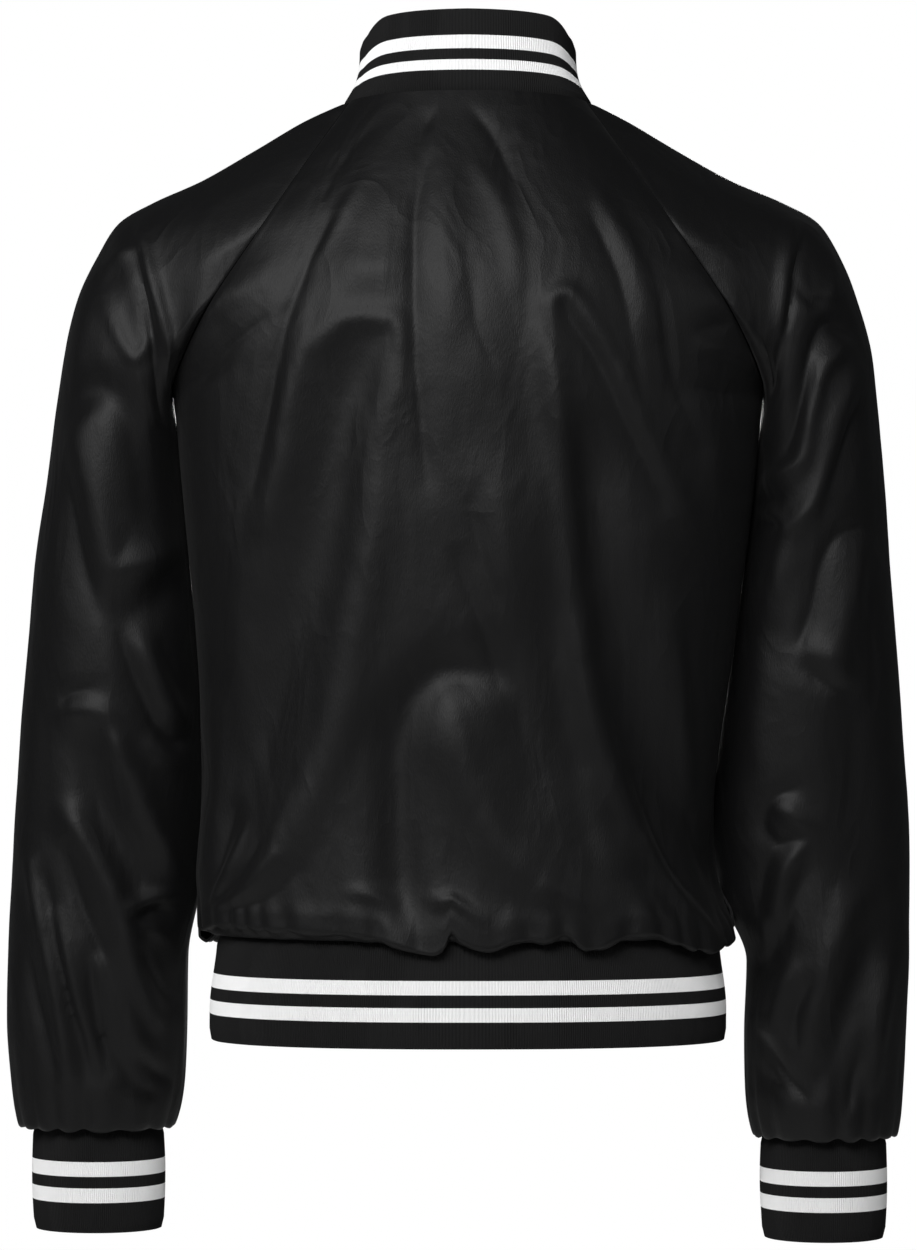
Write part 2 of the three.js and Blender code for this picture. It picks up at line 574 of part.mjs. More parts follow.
// How far a front runs past the middle: the whole lap, but for a butt joint at the hem.
function lapReach(row) {
  return lerp(FRONT_LAP, -BUTT_GAP / 2, smooth(row - 1 - LAP_ENDS));
}

function makeFront(name, side) {
  const rows = torsoRows(FRONT_YOKE_ROWS).map(({ row, fine }) => {
    const columns = fine ? 2 * FRONT_COLUMNS : FRONT_COLUMNS;
    const { shift } = torsoRow(FRONT, row);
    const edge = acrossAt(row, -side * lapReach(row) - shift);
    return steps(columns).map((u) => {
      const across = lerp(edge, side, u);
      const x = torsoPoint(FRONT, across, row).x;
      return torsoVertex(FRONT, across, row, lapDip(side, x, row));
    });
  });
  return piece(name, wallGeometry(rows, SATIN_WALL, false, side < 0), SATIN_BLACK);
}

// ---------- The neck seam ----------
// The side of the neck between the two raglan seams, where the sleeve meets the collar.
function neckSide(side, along) {
  const back = torsoPoint(BACK, side, 0);
  const front = torsoPoint(FRONT, side, 0);
  const behind = point(side * NECK_SIDE.x, NECK_SIDE.backY, 0);
  const before = point(side * NECK_SIDE.x, NECK_SIDE.frontY, NECK_SIDE.frontZ);
  return new THREE.CubicBezierCurve3(back, behind, before, front).getPoint(along);
}

// The whole neck seam: 0 in the middle of the back, 1 and -1 in the middle of the front.
function neckPoint(along) {
  const side = Math.sign(along) || 1;
  const thirds = 3 * Math.abs(along);
  if (thirds <= 1) return torsoPoint(BACK, side * thirds, 0);
  if (thirds <= 2) return neckSide(side, thirds - 1);
  return torsoPoint(FRONT, side * (3 - thirds), 0);
}

// ---------- The sleeves ----------
// The armhole edge: up the back seam, along the neck, and down the front seam.
function armholeVertex(side, index) {
  const neckFrom = BACK_YOKE_ROWS;
  const neckTo = BACK_YOKE_ROWS + NECK_STEPS;
  if (index > neckFrom && index < neckTo) {
    return { at: neckSide(side, (index - neckFrom) / NECK_STEPS) };
  }
  const onBack = index <= neckFrom;
  const face = onBack ? BACK : FRONT;
  const row = onBack ? 1 - index / BACK_YOKE_ROWS : (index - neckTo) / FRONT_YOKE_ROWS;
  const seam = raglanSeam(face, side, row);
  seam.at.addScaledVector(seam.across, seam.gap / 2);
  return { at: seam.at, out: () => seam.out };
}

// A plain ring of the sleeve: the angle is 0 next to the body and 90 degrees at the back.
function sleeveRingPoint(side, ring, angle) {
  const name = side > 0 ? 'Left' : 'Right';
  const lower = side > 0 ? 0 : RIGHT_SLEEVE_DROP * smooth((ring - DROP_FROM) / DROP_RINGS);
  const out = point(side * sleeveRing[`out${name}`](ring), 0, sleeveRing.outZ(ring) - lower);
  const into = point(side * sleeveRing[`in${name}`](ring), 0, sleeveRing.inZ(ring) - lower);
  const at = into.clone().lerp(out, (1 - Math.cos(angle)) / 2);
  at.y = sleeveRing.midY(ring) + sleeveRing.depth(ring) * power(Math.sin(angle), SLEEVE_ROUND);
  return { at, out, into };
}

// Between the armhole and the shoulder tip the ring changes from the armhole's shape to an oval.
function sleeveBase(side, ring, turn) {
  const angle = 2 * Math.PI * turn;
  const { at, out, into } = sleeveRingPoint(side, ring, angle);
  if (ring >= SHOULDER_RINGS) return at;
  const hole = armholeShape(side, turn);
  const first = sleeveRingPoint(side, 0, angle);
  const chord = first.out.clone().sub(first.into);
  const local = hole.clone().sub(first.into);
  const share = (local.x * chord.x + local.z * chord.z) / chord.lengthSq();
  const off = (local.z * chord.x - local.x * chord.z) / chord.length();
  const here = out.clone().sub(into);
  const moved = into.clone().addScaledVector(here, share);
  const normal = point(-here.z, 0, here.x).normalize();
  moved.addScaledVector(normal, off);
  moved.y = hole.y;
  return moved.lerp(at, smooth(ring / SHOULDER_RINGS));
}

// The armhole as a smooth loop, for any turn from 0 at the underarm to 1.
function armholeShape(side, turn) {
  const index = turn * SLEEVE_COLUMNS;
  const neckFrom = BACK_YOKE_ROWS;
  const neckTo = BACK_YOKE_ROWS + NECK_STEPS;
  if (index <= neckFrom) return torsoPoint(BACK, side, 1 - index / BACK_YOKE_ROWS);
  if (index < neckTo) return neckSide(side, (index - neckFrom) / NECK_STEPS);
  return torsoPoint(FRONT, side, (index - neckTo) / FRONT_YOKE_ROWS);
}

function sleeveNormal(side, ring, turn) {
  const d = NEAR;
  const around = sleeveBase(side, ring, turn + d).sub(sleeveBase(side, ring, turn - d));
  const low = Math.max(0, ring - d);
  const high = Math.min(SLEEVE_LAST, ring + d);
  const down = sleeveBase(side, high, turn).sub(sleeveBase(side, low, turn));
  return around.cross(down).normalize().multiplyScalar(side);
}

function sleeveRelief(side, ring, turn, base) {
  const folds = side > 0 ? LEFT_SLEEVE_FOLDS : RIGHT_SLEEVE_FOLDS;
  const degree = Math.PI / 180;
  const fade = smooth((ring - 1) / FADE_ARMHOLE) * smooth((SLEEVE_LAST - ring) / FADE_HEM);
  const besideBody = smooth(Math.min(turn, 1 - turn) / FADE_EDGE);
  const height = foldHeight(folds, 360 * turn, base.z, SLEEVE_FOLD_RADIUS * degree);
  const rise = smooth((ring - SLEEVE_FINE_FROM) / GATHER_LENGTH);
  const fall = smooth((SLEEVE_LAST - ring) / GATHER_LENGTH);
  const gathers = CUFF_GATHER_HEIGHT * rise * fall * gatherHeight(turn, CUFF_GATHERS);
  return height * fade * besideBody + gathers;
}

function makeSleeve(name, side) {
  const rows = SLEEVE_RINGS.map((_, ring) => {
    const columns = ring > SLEEVE_FINE_FROM ? 2 * SLEEVE_COLUMNS : SLEEVE_COLUMNS;
    return steps(columns).slice(0, -1).map((turn, i) => {
      if (ring === 0) return armholeVertex(side, i);
      const at = sleeveBase(side, ring, turn);
      const relief = sleeveRelief(side, ring, turn, at);
      return { at: at.addScaledVector(sleeveNormal(side, ring, turn), relief) };
    });
  });
  return piece(name, wallGeometry(rows, SATIN_WALL, true, side > 0), SATIN_BLACK);
}

// ---------- Rib knit ----------
function makeCuff(name, side) {
  const size = side > 0 ? CUFF_RINGS.left : CUFF_RINGS.right;
  const lower = side > 0 ? 0 : RIGHT_SLEEVE_DROP;
  const top = CUFF_TOP - SEAM_GAP;
  const rows = steps(RIB_ROWS).map((down) => {
    const out = side * lerp(size.outTop, size.outBottom, down);
    const into = side * lerp(size.inTop, size.inBottom, down);
    const swell = CUFF_SWELL * Math.sin(Math.PI * down);
    return steps(CUFF_COLUMNS).slice(0, -1).map((turn) => {
      const angle = 2 * Math.PI * turn;
      const x = (out + into) / 2 + Math.cos(angle) * ((into - out) / 2 - side * swell);
      const y = CUFF_MID_Y + (CUFF_DEPTH + swell) * Math.sin(angle);
      return { at: point(x, y, lerp(top, CUFF_BOTTOM, down) - lower) };
    });
  });
  return piece(name, wallGeometry(rows, RIB_WALL, true, side > 0), RIB_BLACK);
}

// The waistband runs once round, from the right front's end to the left front's, which laps over.
function bandPoint(along, down) {
  const edge = (name) => lerp(BAND_TOP[name], BAND_BOTTOM[name], smooth(down * BAND_SPREAD));
  const past = BAND_PAST * FRONT_LAP / edge('half');
  const angle = Math.PI / 2 + 2 * (Math.PI + past) * (along - 0.5);
  const depth = Math.sin(angle) > 0 ? edge('back') : edge('front');
  const dip = BAND_DIP * (1 - smooth((along - BAND_LAP) / BAND_LAP));
  const x = -(edge('half') - dip) * power(Math.cos(angle), ROUND);
  const y = (depth - dip) * power(Math.sin(angle), ROUND);
  return point(x, y, lerp(WAISTBAND_TOP - SEAM_GAP, WAISTBAND_BOTTOM, down));
}

function makeWaistband() {
  const rows = steps(RIB_ROWS).map((down) => (
    steps(BAND_COLUMNS).map((along) => ({ at: bandPoint(along, down) }))
  ));
  return piece('waistband', wallGeometry(rows, RIB_WALL, false, true), RIB_BLACK);
}

// The collar stands on the neck seam, flares at its foot, leans in, and gets lower at its ends.
// Its foot is cut level and keeps a wider gap in front, where the seam runs down steeply.
function collarVertex(along, up) {
  const base = neckPoint(along * COLLAR_SPAN);
  const height = collarAt.height(Math.abs(along));
  const lean = collarAt.lean(Math.abs(along));
  const inward = point(-base.x, NECK_MIDDLE_Y - base.y, 0).normalize();
  const flare = 1 - Math.pow(1 - up, 3);
  base.z += footGap(Math.abs(along)) + height * up * Math.sqrt(1 - lean * lean);
  base.addScaledVector(inward, height * lean * flare);
  if (up > 0) return { at: base };
  return { at: base, out: () => inward.negate() };
}

function makeCollar() {
  const rows = steps(COLLAR_ROWS).map((up) => (
    steps(COLLAR_COLUMNS).map((u) => collarVertex(lerp(-1, 1, u), up))
  ));
  return piece('collar', wallGeometry(rows, RIB_WALL, false, false), RIB_BLACK);
}

// ---------- Snaps ----------
function snapGeometry() {
  const profile = SNAP_PROFILE.map(({ radius, height }) => new THREE.Vector2(radius, height));
  return new THREE.LatheGeometry(profile, SNAP_SIDES);
}

// A snap lies flat against the front, a seam gap off it. Its axis turns from +Y to the way out.
function makeSnap(name, at, out) {
  const snap = piece(name, snapGeometry(), SNAP_BLACK);
  snap.position.copy(at);
  snap.quaternion.setFromUnitVectors(point(0, 1, 0), out);
  return snap;
}

// The torso row whose middle in front lies at a height, found by halving.
function rowAtHeight(z) {
  let low = 0;
  let high = 1 + LAP_DIP_ENDS;
  while (high - low > NEAR / 10) {
    const middle = (low + high) / 2;
    if (torsoPoint(FRONT, 0, middle).z > z) low = middle;
    else high = middle;
  }
  return low;
}

function makeSnaps() {
  const snaps = steps(FRONT_SNAPS - 1).map((share, i) => {
    const row = rowAtHeight(lerp(FIRST_SNAP_Z, LAST_SNAP_Z, share));
    const across = acrossAt(row, -torsoRow(FRONT, row).shift);
    const at = torsoPoint(FRONT, across, row);
    const out = torsoNormal(FRONT, across, row);
    const height = torsoRelief(FRONT, across, row, at) + SNAP_GAP;
    return makeSnap(`snap_${i + 1}`, at.addScaledVector(out, height), out);
  });
  const bandAt = bandPoint(1 - BAND_LAP / 2, 0.5);
  bandAt.x = 0;
  bandAt.y -= SNAP_GAP;
  snaps.push(makeSnap(`snap_${FRONT_SNAPS + 1}`, bandAt, point(0, -1, 0)));
  return snaps;
}

// ---------- The jacket ----------
const jacket = new THREE.Group();
jacket.name = 'varsity_jacket';
jacket.add(
  makeBack(),
  makeFront('front_left', 1),
  makeFront('front_right', -1),
  makeSleeve('sleeve_left', 1),
  makeSleeve('sleeve_right', -1),
  makeCollar(),
  makeWaistband(),
  makeCuff('cuff_left', 1),
  makeCuff('cuff_right', -1),
  ...makeSnaps(),
);

export default jacket;
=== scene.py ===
# %% [markdown]
# # A varsity jacket in black satin
# The jacket is a body of three satin panels, two raglan sleeves, and rib-knit trims at the neck,
# the hem and the wrists. It is worn, but the wearer is not shown, so every piece is a thin hollow
# wall. The frame's plain solids give the sizes, and this script computes the same forms again,
# far more finely, as whole arrays of points, and then lays the cloth's folds on them.

# %% Load the frame
import bpy
import numpy as np
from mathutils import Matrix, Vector


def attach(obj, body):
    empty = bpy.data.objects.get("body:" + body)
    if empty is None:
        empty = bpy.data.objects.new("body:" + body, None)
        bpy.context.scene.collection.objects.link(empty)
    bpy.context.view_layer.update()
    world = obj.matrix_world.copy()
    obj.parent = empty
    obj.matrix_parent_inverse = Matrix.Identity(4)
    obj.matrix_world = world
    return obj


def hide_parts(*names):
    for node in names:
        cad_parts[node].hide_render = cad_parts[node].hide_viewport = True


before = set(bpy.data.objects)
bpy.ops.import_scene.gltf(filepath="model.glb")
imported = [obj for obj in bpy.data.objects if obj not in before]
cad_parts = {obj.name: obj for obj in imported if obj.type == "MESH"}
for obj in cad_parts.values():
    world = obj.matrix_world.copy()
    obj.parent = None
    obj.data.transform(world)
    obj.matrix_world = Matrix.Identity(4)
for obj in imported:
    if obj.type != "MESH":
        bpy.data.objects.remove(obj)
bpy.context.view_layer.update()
print("frame nodes:", ", ".join(sorted(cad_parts)))

# %% [markdown]
# ## Sizes
# All sizes below are millimetres, and become metres only when a mesh is made. +Z is up, the front
# faces -Y, and the wearer's left is +X. The origin is in the middle of the neck.

# %% Sizes
MM = 0.001
SATIN_WALL = 1.6
RIB_WALL = 2.6
SEAM_GAP = 0.3
FRONT_LAP = 14
LAP_DIP = SATIN_WALL + 0.5
LAP_EASE = 20
BUTT_GAP = 0.4
WAISTBAND_TOP, WAISTBAND_BOTTOM = -594, -670
CUFF_TOP, CUFF_BOTTOM = -735, -811
RIGHT_SLEEVE_DROP = 7
ROUND = 0.83
SLEEVE_ROUND = 0.86
BACK, FRONT = 1, -1
print("cloth walls:", SATIN_WALL, "mm satin and", RIB_WALL, "mm rib knit")


def columns(names, rows):
    """A table as one array for each of its named columns."""
    return dict(zip(names.split(), np.array(rows, float).T))


# %% The body's sections
BACK_YOKE = columns("row seamX seamY seamZ middleY middleZ", [
    (0.00, 85, 28, 1, 64, 6),
    (0.20, 119, 64, -50, 92, -46),
    (0.40, 151, 85, -99, 115, -96),
    (0.58, 178, 85, -139, 126, -137),
    (0.70, 194, 71, -166, 130, -164),
    (0.82, 206, 47, -190, 131, -190),
    (0.92, 211, 24, -202, 131, -205),
    (1.00, 212, 0, -207, 131, -215),
])
FRONT_YOKE = columns("row seamX seamY seamZ middleY middleZ", [
    (0.00, 74, 60, -27, 97, -72),
    (0.22, 106, 82, -75, 107, -105),
    (0.44, 140, 92, -124, 114, -142),
    (0.64, 171, 86, -164, 119, -178),
    (0.82, 198, 58, -192, 121, -208),
    (0.92, 209, 31, -203, 122, -222),
    (1.00, 212, 0, -207, 122, -235),
])
TORSO = columns("z half shift back front backSag frontSag", [
    (-207, 212, 0, 131, 122, 8, 28),
    (-250, 208, 0, 129, 121, 5, 18),
    (-300, 203, 0, 127, 120, 2, 8),
    (-350, 197, 1, 124, 119, 0, 2),
    (-400, 192, 2, 121, 118, 0, 0),
    (-450, 187, 5, 118, 117, 0, 0),
    (-500, 184, 7.5, 117, 117, 0, 0),
    (-540, 185.5, 8.5, 118, 118, 0, 0),
    (-568, 189, 5.5, 120, 121, 0, 0),
    (-585, 192.5, 2, 122, 123, 0, 0),
    (-595, 193, 1, 122, 123, 0, 0),
    (-599, 188, 0, 118, 117, 0, 0),
    (WAISTBAND_TOP, 181, 0, 112, 110, 0, 0),
])
TORSO_LAST = len(TORSO["z"]) - 1
print("torso sections:", TORSO_LAST + 1)

# %% The sleeves' rings
SLEEVE = columns("outZ inZ outLeft inLeft outRight inRight midY depth", [
    (-2, -207, 93, 212, 93, 212, -6, 90),
    (-14, -212, 120, 213.4, 117, 213.4, -4, 88),
    (-35, -217, 156, 213.2, 153, 213.2, -3, 86),
    (-55, -223, 192, 212.6, 191, 212.6, -3, 85),
    (-69, -230, 226, 211.4, 226, 211.4, -5, 84),
    (-83, -239, 251, 209.6, 252, 209.6, -8, 84),
    (-107, -250, 267, 208.1, 268, 208.1, -13, 84),
    (-138, -263, 281, 206.8, 281, 206.8, -17, 83),
    (-179, -280, 291, 205.0, 292, 205.0, -19, 82),
    (-222, -304, 298, 202.3, 296, 202.3, -20, 80),
    (-274, -335, 305, 199.6, 301, 198.3, -21, 77),
    (-325, -370, 312, 196.3, 305, 193.6, -22, 74),
    (-384, -412, 317.5, 193.6, 310, 188.4, -22, 71),
    (-441, -456, 323, 192.0, 314, 181.8, -24, 68),
    (-499, -504, 327.5, 190.8, 318.5, 175.4, -28, 66),
    (-557, -557, 331, 193.2, 320, 180.4, -33, 65),
    (-614, -612, 333, 203, 319.5, 202.5, -35, 64),
    (-664, -662, 334, 204, 317.5, 201, -39, 63),
    (-703, -702, 332, 206, 316, 202, -43, 61),
    (-726, -726, 329, 210, 314, 205, -44, 58),
    (-737, -737, 325, 215, 311, 209, -44, 54),
    (CUFF_TOP, CUFF_TOP, 316.4, 221.6, 304.4, 213.6, -44, 46.4),
])
SLEEVE_LAST = len(SLEEVE["outZ"]) - 1
SHOULDER_RINGS = 5
CUFF_MID_Y, CUFF_DEPTH = -44, 46
CUFF_LEFT = dict(outTop=316, inTop=222, outBottom=315, inBottom=222)
CUFF_RIGHT = dict(outTop=304, inTop=214, outBottom=303, inBottom=215)
print("sleeve rings:", SLEEVE_LAST + 1)

# %% The waistband and the collar
BAND_TOP = dict(half=180, back=111, front=109)
BAND_BOTTOM = dict(half=185.5, back=115, front=113)
COLLAR = columns("along height lean", [
    (0.00, 58, 0.06),
    (0.20, 57, 0.15),
    (0.36, 49, 0.29),
    (0.50, 46, 0.33),
    (0.70, 42, 0.36),
    (0.92, 39, 0.36),
    (1.00, 26, 0.30),
])
print("collar's height in the middle of the back:", COLLAR["height"][0], "mm")


# %% [markdown]
# ## Curves through a table
# A garment's outline is known at a few heights, and the cloth runs smoothly between them. A cubic
# that never overshoots its points keeps a waist from bulging between two rows, which an ordinary
# spline would let it do.

# %% Curves
def through(x, y, at):
    """The curve through the points (x, y), at the places at: a cubic Hermite whose tangent is
    (a + b) / (a / before + b / after), with before and after the slopes on either side,
    a = 2 h[i] + h[i-1] and b = h[i] + 2 h[i-1], and 0 where the two slopes differ in sign."""
    step = np.diff(x)
    slope = np.diff(y) / step
    before, after = slope[:-1], slope[1:]
    a = 2 * step[1:] + step[:-1]
    b = step[1:] + 2 * step[:-1]
    same = before * after > 0
    mean = (a + b) / (a / np.where(same, before, 1) + b / np.where(same, after, 1))
    tangent = np.concatenate([slope[:1], np.where(same, mean, 0), slope[-1:]])
    at = np.clip(at, x[0], x[-1])
    i = np.clip(np.searchsorted(x, at, side="right") - 1, 0, len(step) - 1)
    h = step[i]
    t = (at - x[i]) / h
    return ((2 * t**3 - 3 * t**2 + 1) * y[i] + (t**3 - 2 * t**2 + t) * h * tangent[i]
            + (3 * t**2 - 2 * t**3) * y[i + 1] + (t**3 - t**2) * h * tangent[i + 1])


def read(table, name, at, key=None):
    """A table's column at the places at, which count rows unless a key column is named."""
    x = table[key] if key else np.arange(len(table[name]), dtype=float)
    return through(x, table[name], at)


def smooth(x):
    """0 below 0, 1 above 1, and 3x^2 - 2x^3 between."""
    x = np.clip(x, 0, 1)
    return x * x * (3 - 2 * x)


def lerp(a, b, t):
    """(1 - t) a + t b."""
    return a + (b - a) * t


def power(x, p):
    """sign(x) |x|^p."""
    return np.sign(x) * np.abs(x)**p


def unit(v):
    """v / |v|, for each point."""
    return v / np.maximum(np.linalg.norm(v, axis=-1, keepdims=True), 1e-9)


print("half width at the chest:", float(read(TORSO, "half", 1.0)), "mm")


# %% [markdown]
# ## The body's plain form
# Each row across a panel is part of a superellipse: x = reach cos(angle)^0.83 and
# y = depth sin(angle)^0.83, a little squarer than an ellipse, as a body is. Above the underarm the
# rows end at the raglan seam, and below it at the side seam.

# %% Torso points
def torso_row(face, row):
    """The end and the middle of each row: rows 0 to 1 are the yoke's, and the rest the torso's."""
    yoke = BACK_YOKE if face == BACK else FRONT_YOKE
    depth, sag = ("back", "backSag") if face == BACK else ("front", "frontSag")
    high = np.clip(row, 0, 1)
    low = np.clip(row - 1, 0, TORSO_LAST)
    z = read(TORSO, "z", low)
    below = row > 1
    return dict(
        endX=np.where(below, read(TORSO, "half", low), read(yoke, "seamX", high, "row")),
        endY=np.where(below, 0, np.maximum(read(yoke, "seamY", high, "row"), 0)),
        endZ=np.where(below, z, read(yoke, "seamZ", high, "row")),
        middleY=np.where(below, read(TORSO, depth, low), read(yoke, "middleY", high, "row")),
        middleZ=np.where(below, z - read(TORSO, sag, low), read(yoke, "middleZ", high, "row")),
        shift=np.where(below, read(TORSO, "shift", low), 0),
    )


def end_angle(r):
    """The angle at which a row ends: asin((endY / middleY)^(1 / 0.83))."""
    return np.arcsin(np.clip(r["endY"] / r["middleY"], 0, 1)**(1 / ROUND))


def torso_point(face, across, row):
    """Points of the plain torso. across is 0 in the middle and 1 or -1 at a row's ends, and
    z = middleZ + (endZ - middleZ) across^2."""
    across, row = np.broadcast_arrays(np.asarray(across, float), np.asarray(row, float))
    r = torso_row(face, row)
    end = end_angle(r)
    angle = np.pi / 2 - across * (np.pi / 2 - end)
    reach = r["endX"] / np.cos(end)**ROUND
    return np.stack([
        reach * power(np.cos(angle), ROUND) + r["shift"],
        face * r["middleY"] * power(np.sin(angle), ROUND),
        lerp(r["middleZ"], r["endZ"], across**2),
    ], -1)


# %% Even spacing
def even(points, share, density=None):
    """Where to step along a line of points so that the steps are of equal length: the inverse of
    its length so far, as a share of the whole. A density above 1 makes the steps shorter."""
    piece = np.linalg.norm(np.diff(points, axis=0), axis=-1)
    if density is not None:
        piece = piece * density[1:]
    length = np.concatenate([[0], np.cumsum(piece)])
    return np.interp(share, length / length[-1], np.linspace(0, 1, len(points)))


def even_across(share):
    """across for a share from -1 to 1 of the way, by length, on the row at the chest."""
    line = torso_point(BACK, np.linspace(0, 1, 2000), 4.0)
    return np.sign(share) * even(line, np.abs(share))


def share_of_across(across):
    """The inverse of even_across."""
    share = np.linspace(-1, 1, 2001)
    return np.interp(across, even_across(share), share)


def torso_rows(face, count):
    """Rows from the neck to the hem at even lengths, and closer where the hem turns under."""
    row = np.linspace(0, 1 + TORSO_LAST, 4000)
    line = torso_point(face, np.full(row.shape, 0.45), row)
    density = 1 + 1.6 * smooth((row - 10.2) / 0.8)
    return even(line, np.linspace(0, 1, count), density) * (1 + TORSO_LAST)


print("first rows of the back:", np.round(torso_rows(BACK, 200)[:4], 3))


# %% [markdown]
# ## The neck seam and the sleeves' plain form
# A raglan sleeve runs up to the neck, so its first ring is the whole armhole: up the back seam,
# along the side of the neck, and down the front seam. Over the shoulder the ring changes from that
# loop to a plain oval, which bends and narrows down to the cuff.

# %% Neck and sleeve points
BACK_SHARE, NECK_SHARE = 11 / 24, 14 / 24


def neck_side(side, along):
    """The side of the neck: a cubic Bezier curve from the back raglan seam to the front one."""
    start = torso_point(BACK, side, 0)
    end = torso_point(FRONT, side, 0)
    first = np.array([side * 97, 6, 0])
    second = np.array([side * 97, -38, -8])
    t = np.asarray(along)[..., None]
    s = 1 - t
    return s**3 * start + 3 * s**2 * t * first + 3 * s * t**2 * second + t**3 * end


def neck_point(along):
    """The neck seam: 0 in the middle of the back, and 1 and -1 in the middle of the front."""
    side = np.where(along < 0, -1, 1)[..., None]
    thirds = 3 * np.abs(along)
    mirror = np.stack([side[..., 0], np.ones_like(thirds), np.ones_like(thirds)], -1)
    back = torso_point(BACK, np.clip(thirds, 0, 1), 0.0)
    middle = neck_side(1, np.clip(thirds - 1, 0, 1))
    front = torso_point(FRONT, np.clip(3 - thirds, 0, 1), 0.0)
    point = np.where((thirds <= 1)[..., None], back, np.where((thirds <= 2)[..., None], middle, front))
    return point * mirror


def armhole(side, turn):
    """The armhole's loop, for a turn from 0 at the underarm to 1."""
    back = torso_point(BACK, side, np.clip(1 - turn / BACK_SHARE, 0, 1))
    neck = neck_side(side, np.clip((turn - BACK_SHARE) / (NECK_SHARE - BACK_SHARE), 0, 1))
    front = torso_point(FRONT, side, np.clip((turn - NECK_SHARE) / (1 - NECK_SHARE), 0, 1))
    return np.where((turn <= BACK_SHARE)[..., None], back,
                    np.where((turn < NECK_SHARE)[..., None], neck, front))


def sleeve_ring(side, ring, turn):
    """Plain rings, from their innermost point in to their outermost point out:
    in + (out - in) (1 - cos(angle)) / 2, with y = midY + depth sin(angle)^0.86."""
    name = "Left" if side > 0 else "Right"
    drop = RIGHT_SLEEVE_DROP * smooth((ring - 10) / 9) if side < 0 else 0 * ring
    out = np.stack([side * read(SLEEVE, "out" + name, ring), 0 * ring,
                    read(SLEEVE, "outZ", ring) - drop], -1)
    into = np.stack([side * read(SLEEVE, "in" + name, ring), 0 * ring,
                     read(SLEEVE, "inZ", ring) - drop], -1)
    angle = 2 * np.pi * turn
    at = lerp(into, out, ((1 - np.cos(angle)) / 2)[..., None])
    at[..., 1] = (read(SLEEVE, "midY", ring)
                  + read(SLEEVE, "depth", ring) * power(np.sin(angle), SLEEVE_ROUND))
    return at, out, into


def sleeve_point(side, ring, turn):
    """Points of the plain sleeve. Up to the shoulder's tip the armhole loop, written as a share of
    the first ring's chord and a height off it, is carried along and blended into the oval."""
    ring, turn = np.broadcast_arrays(np.asarray(ring, float), np.asarray(turn, float))
    at, out, into = sleeve_ring(side, ring, turn)
    hole = armhole(side, turn)
    _, first_out, first_in = sleeve_ring(side, np.zeros_like(ring), turn)
    chord = first_out - first_in
    local = hole - first_in
    length2 = chord[..., 0]**2 + chord[..., 2]**2
    share = (local[..., 0] * chord[..., 0] + local[..., 2] * chord[..., 2]) / length2
    off = (local[..., 2] * chord[..., 0] - local[..., 0] * chord[..., 2]) / np.sqrt(length2)
    here = out - into
    normal = unit(np.stack([-here[..., 2], 0 * ring, here[..., 0]], -1))
    moved = into + here * share[..., None] + normal * off[..., None]
    moved[..., 1] = hole[..., 1]
    return lerp(moved, at, smooth(ring / SHOULDER_RINGS)[..., None])


def sleeve_rings(side, count):
    """Rings at even lengths along the outside and the back of the sleeve."""
    ring = np.linspace(0, SLEEVE_LAST, 4000)
    line = sleeve_point(side, ring, np.full(ring.shape, 0.36))
    density = 1 + 1.2 * smooth((ring - 18) / 2)
    return even(line, np.linspace(0, 1, count), density) * SLEEVE_LAST


print("left cuff seam, outside:", np.round(sleeve_point(1, SLEEVE_LAST, 0.5)), "mm")
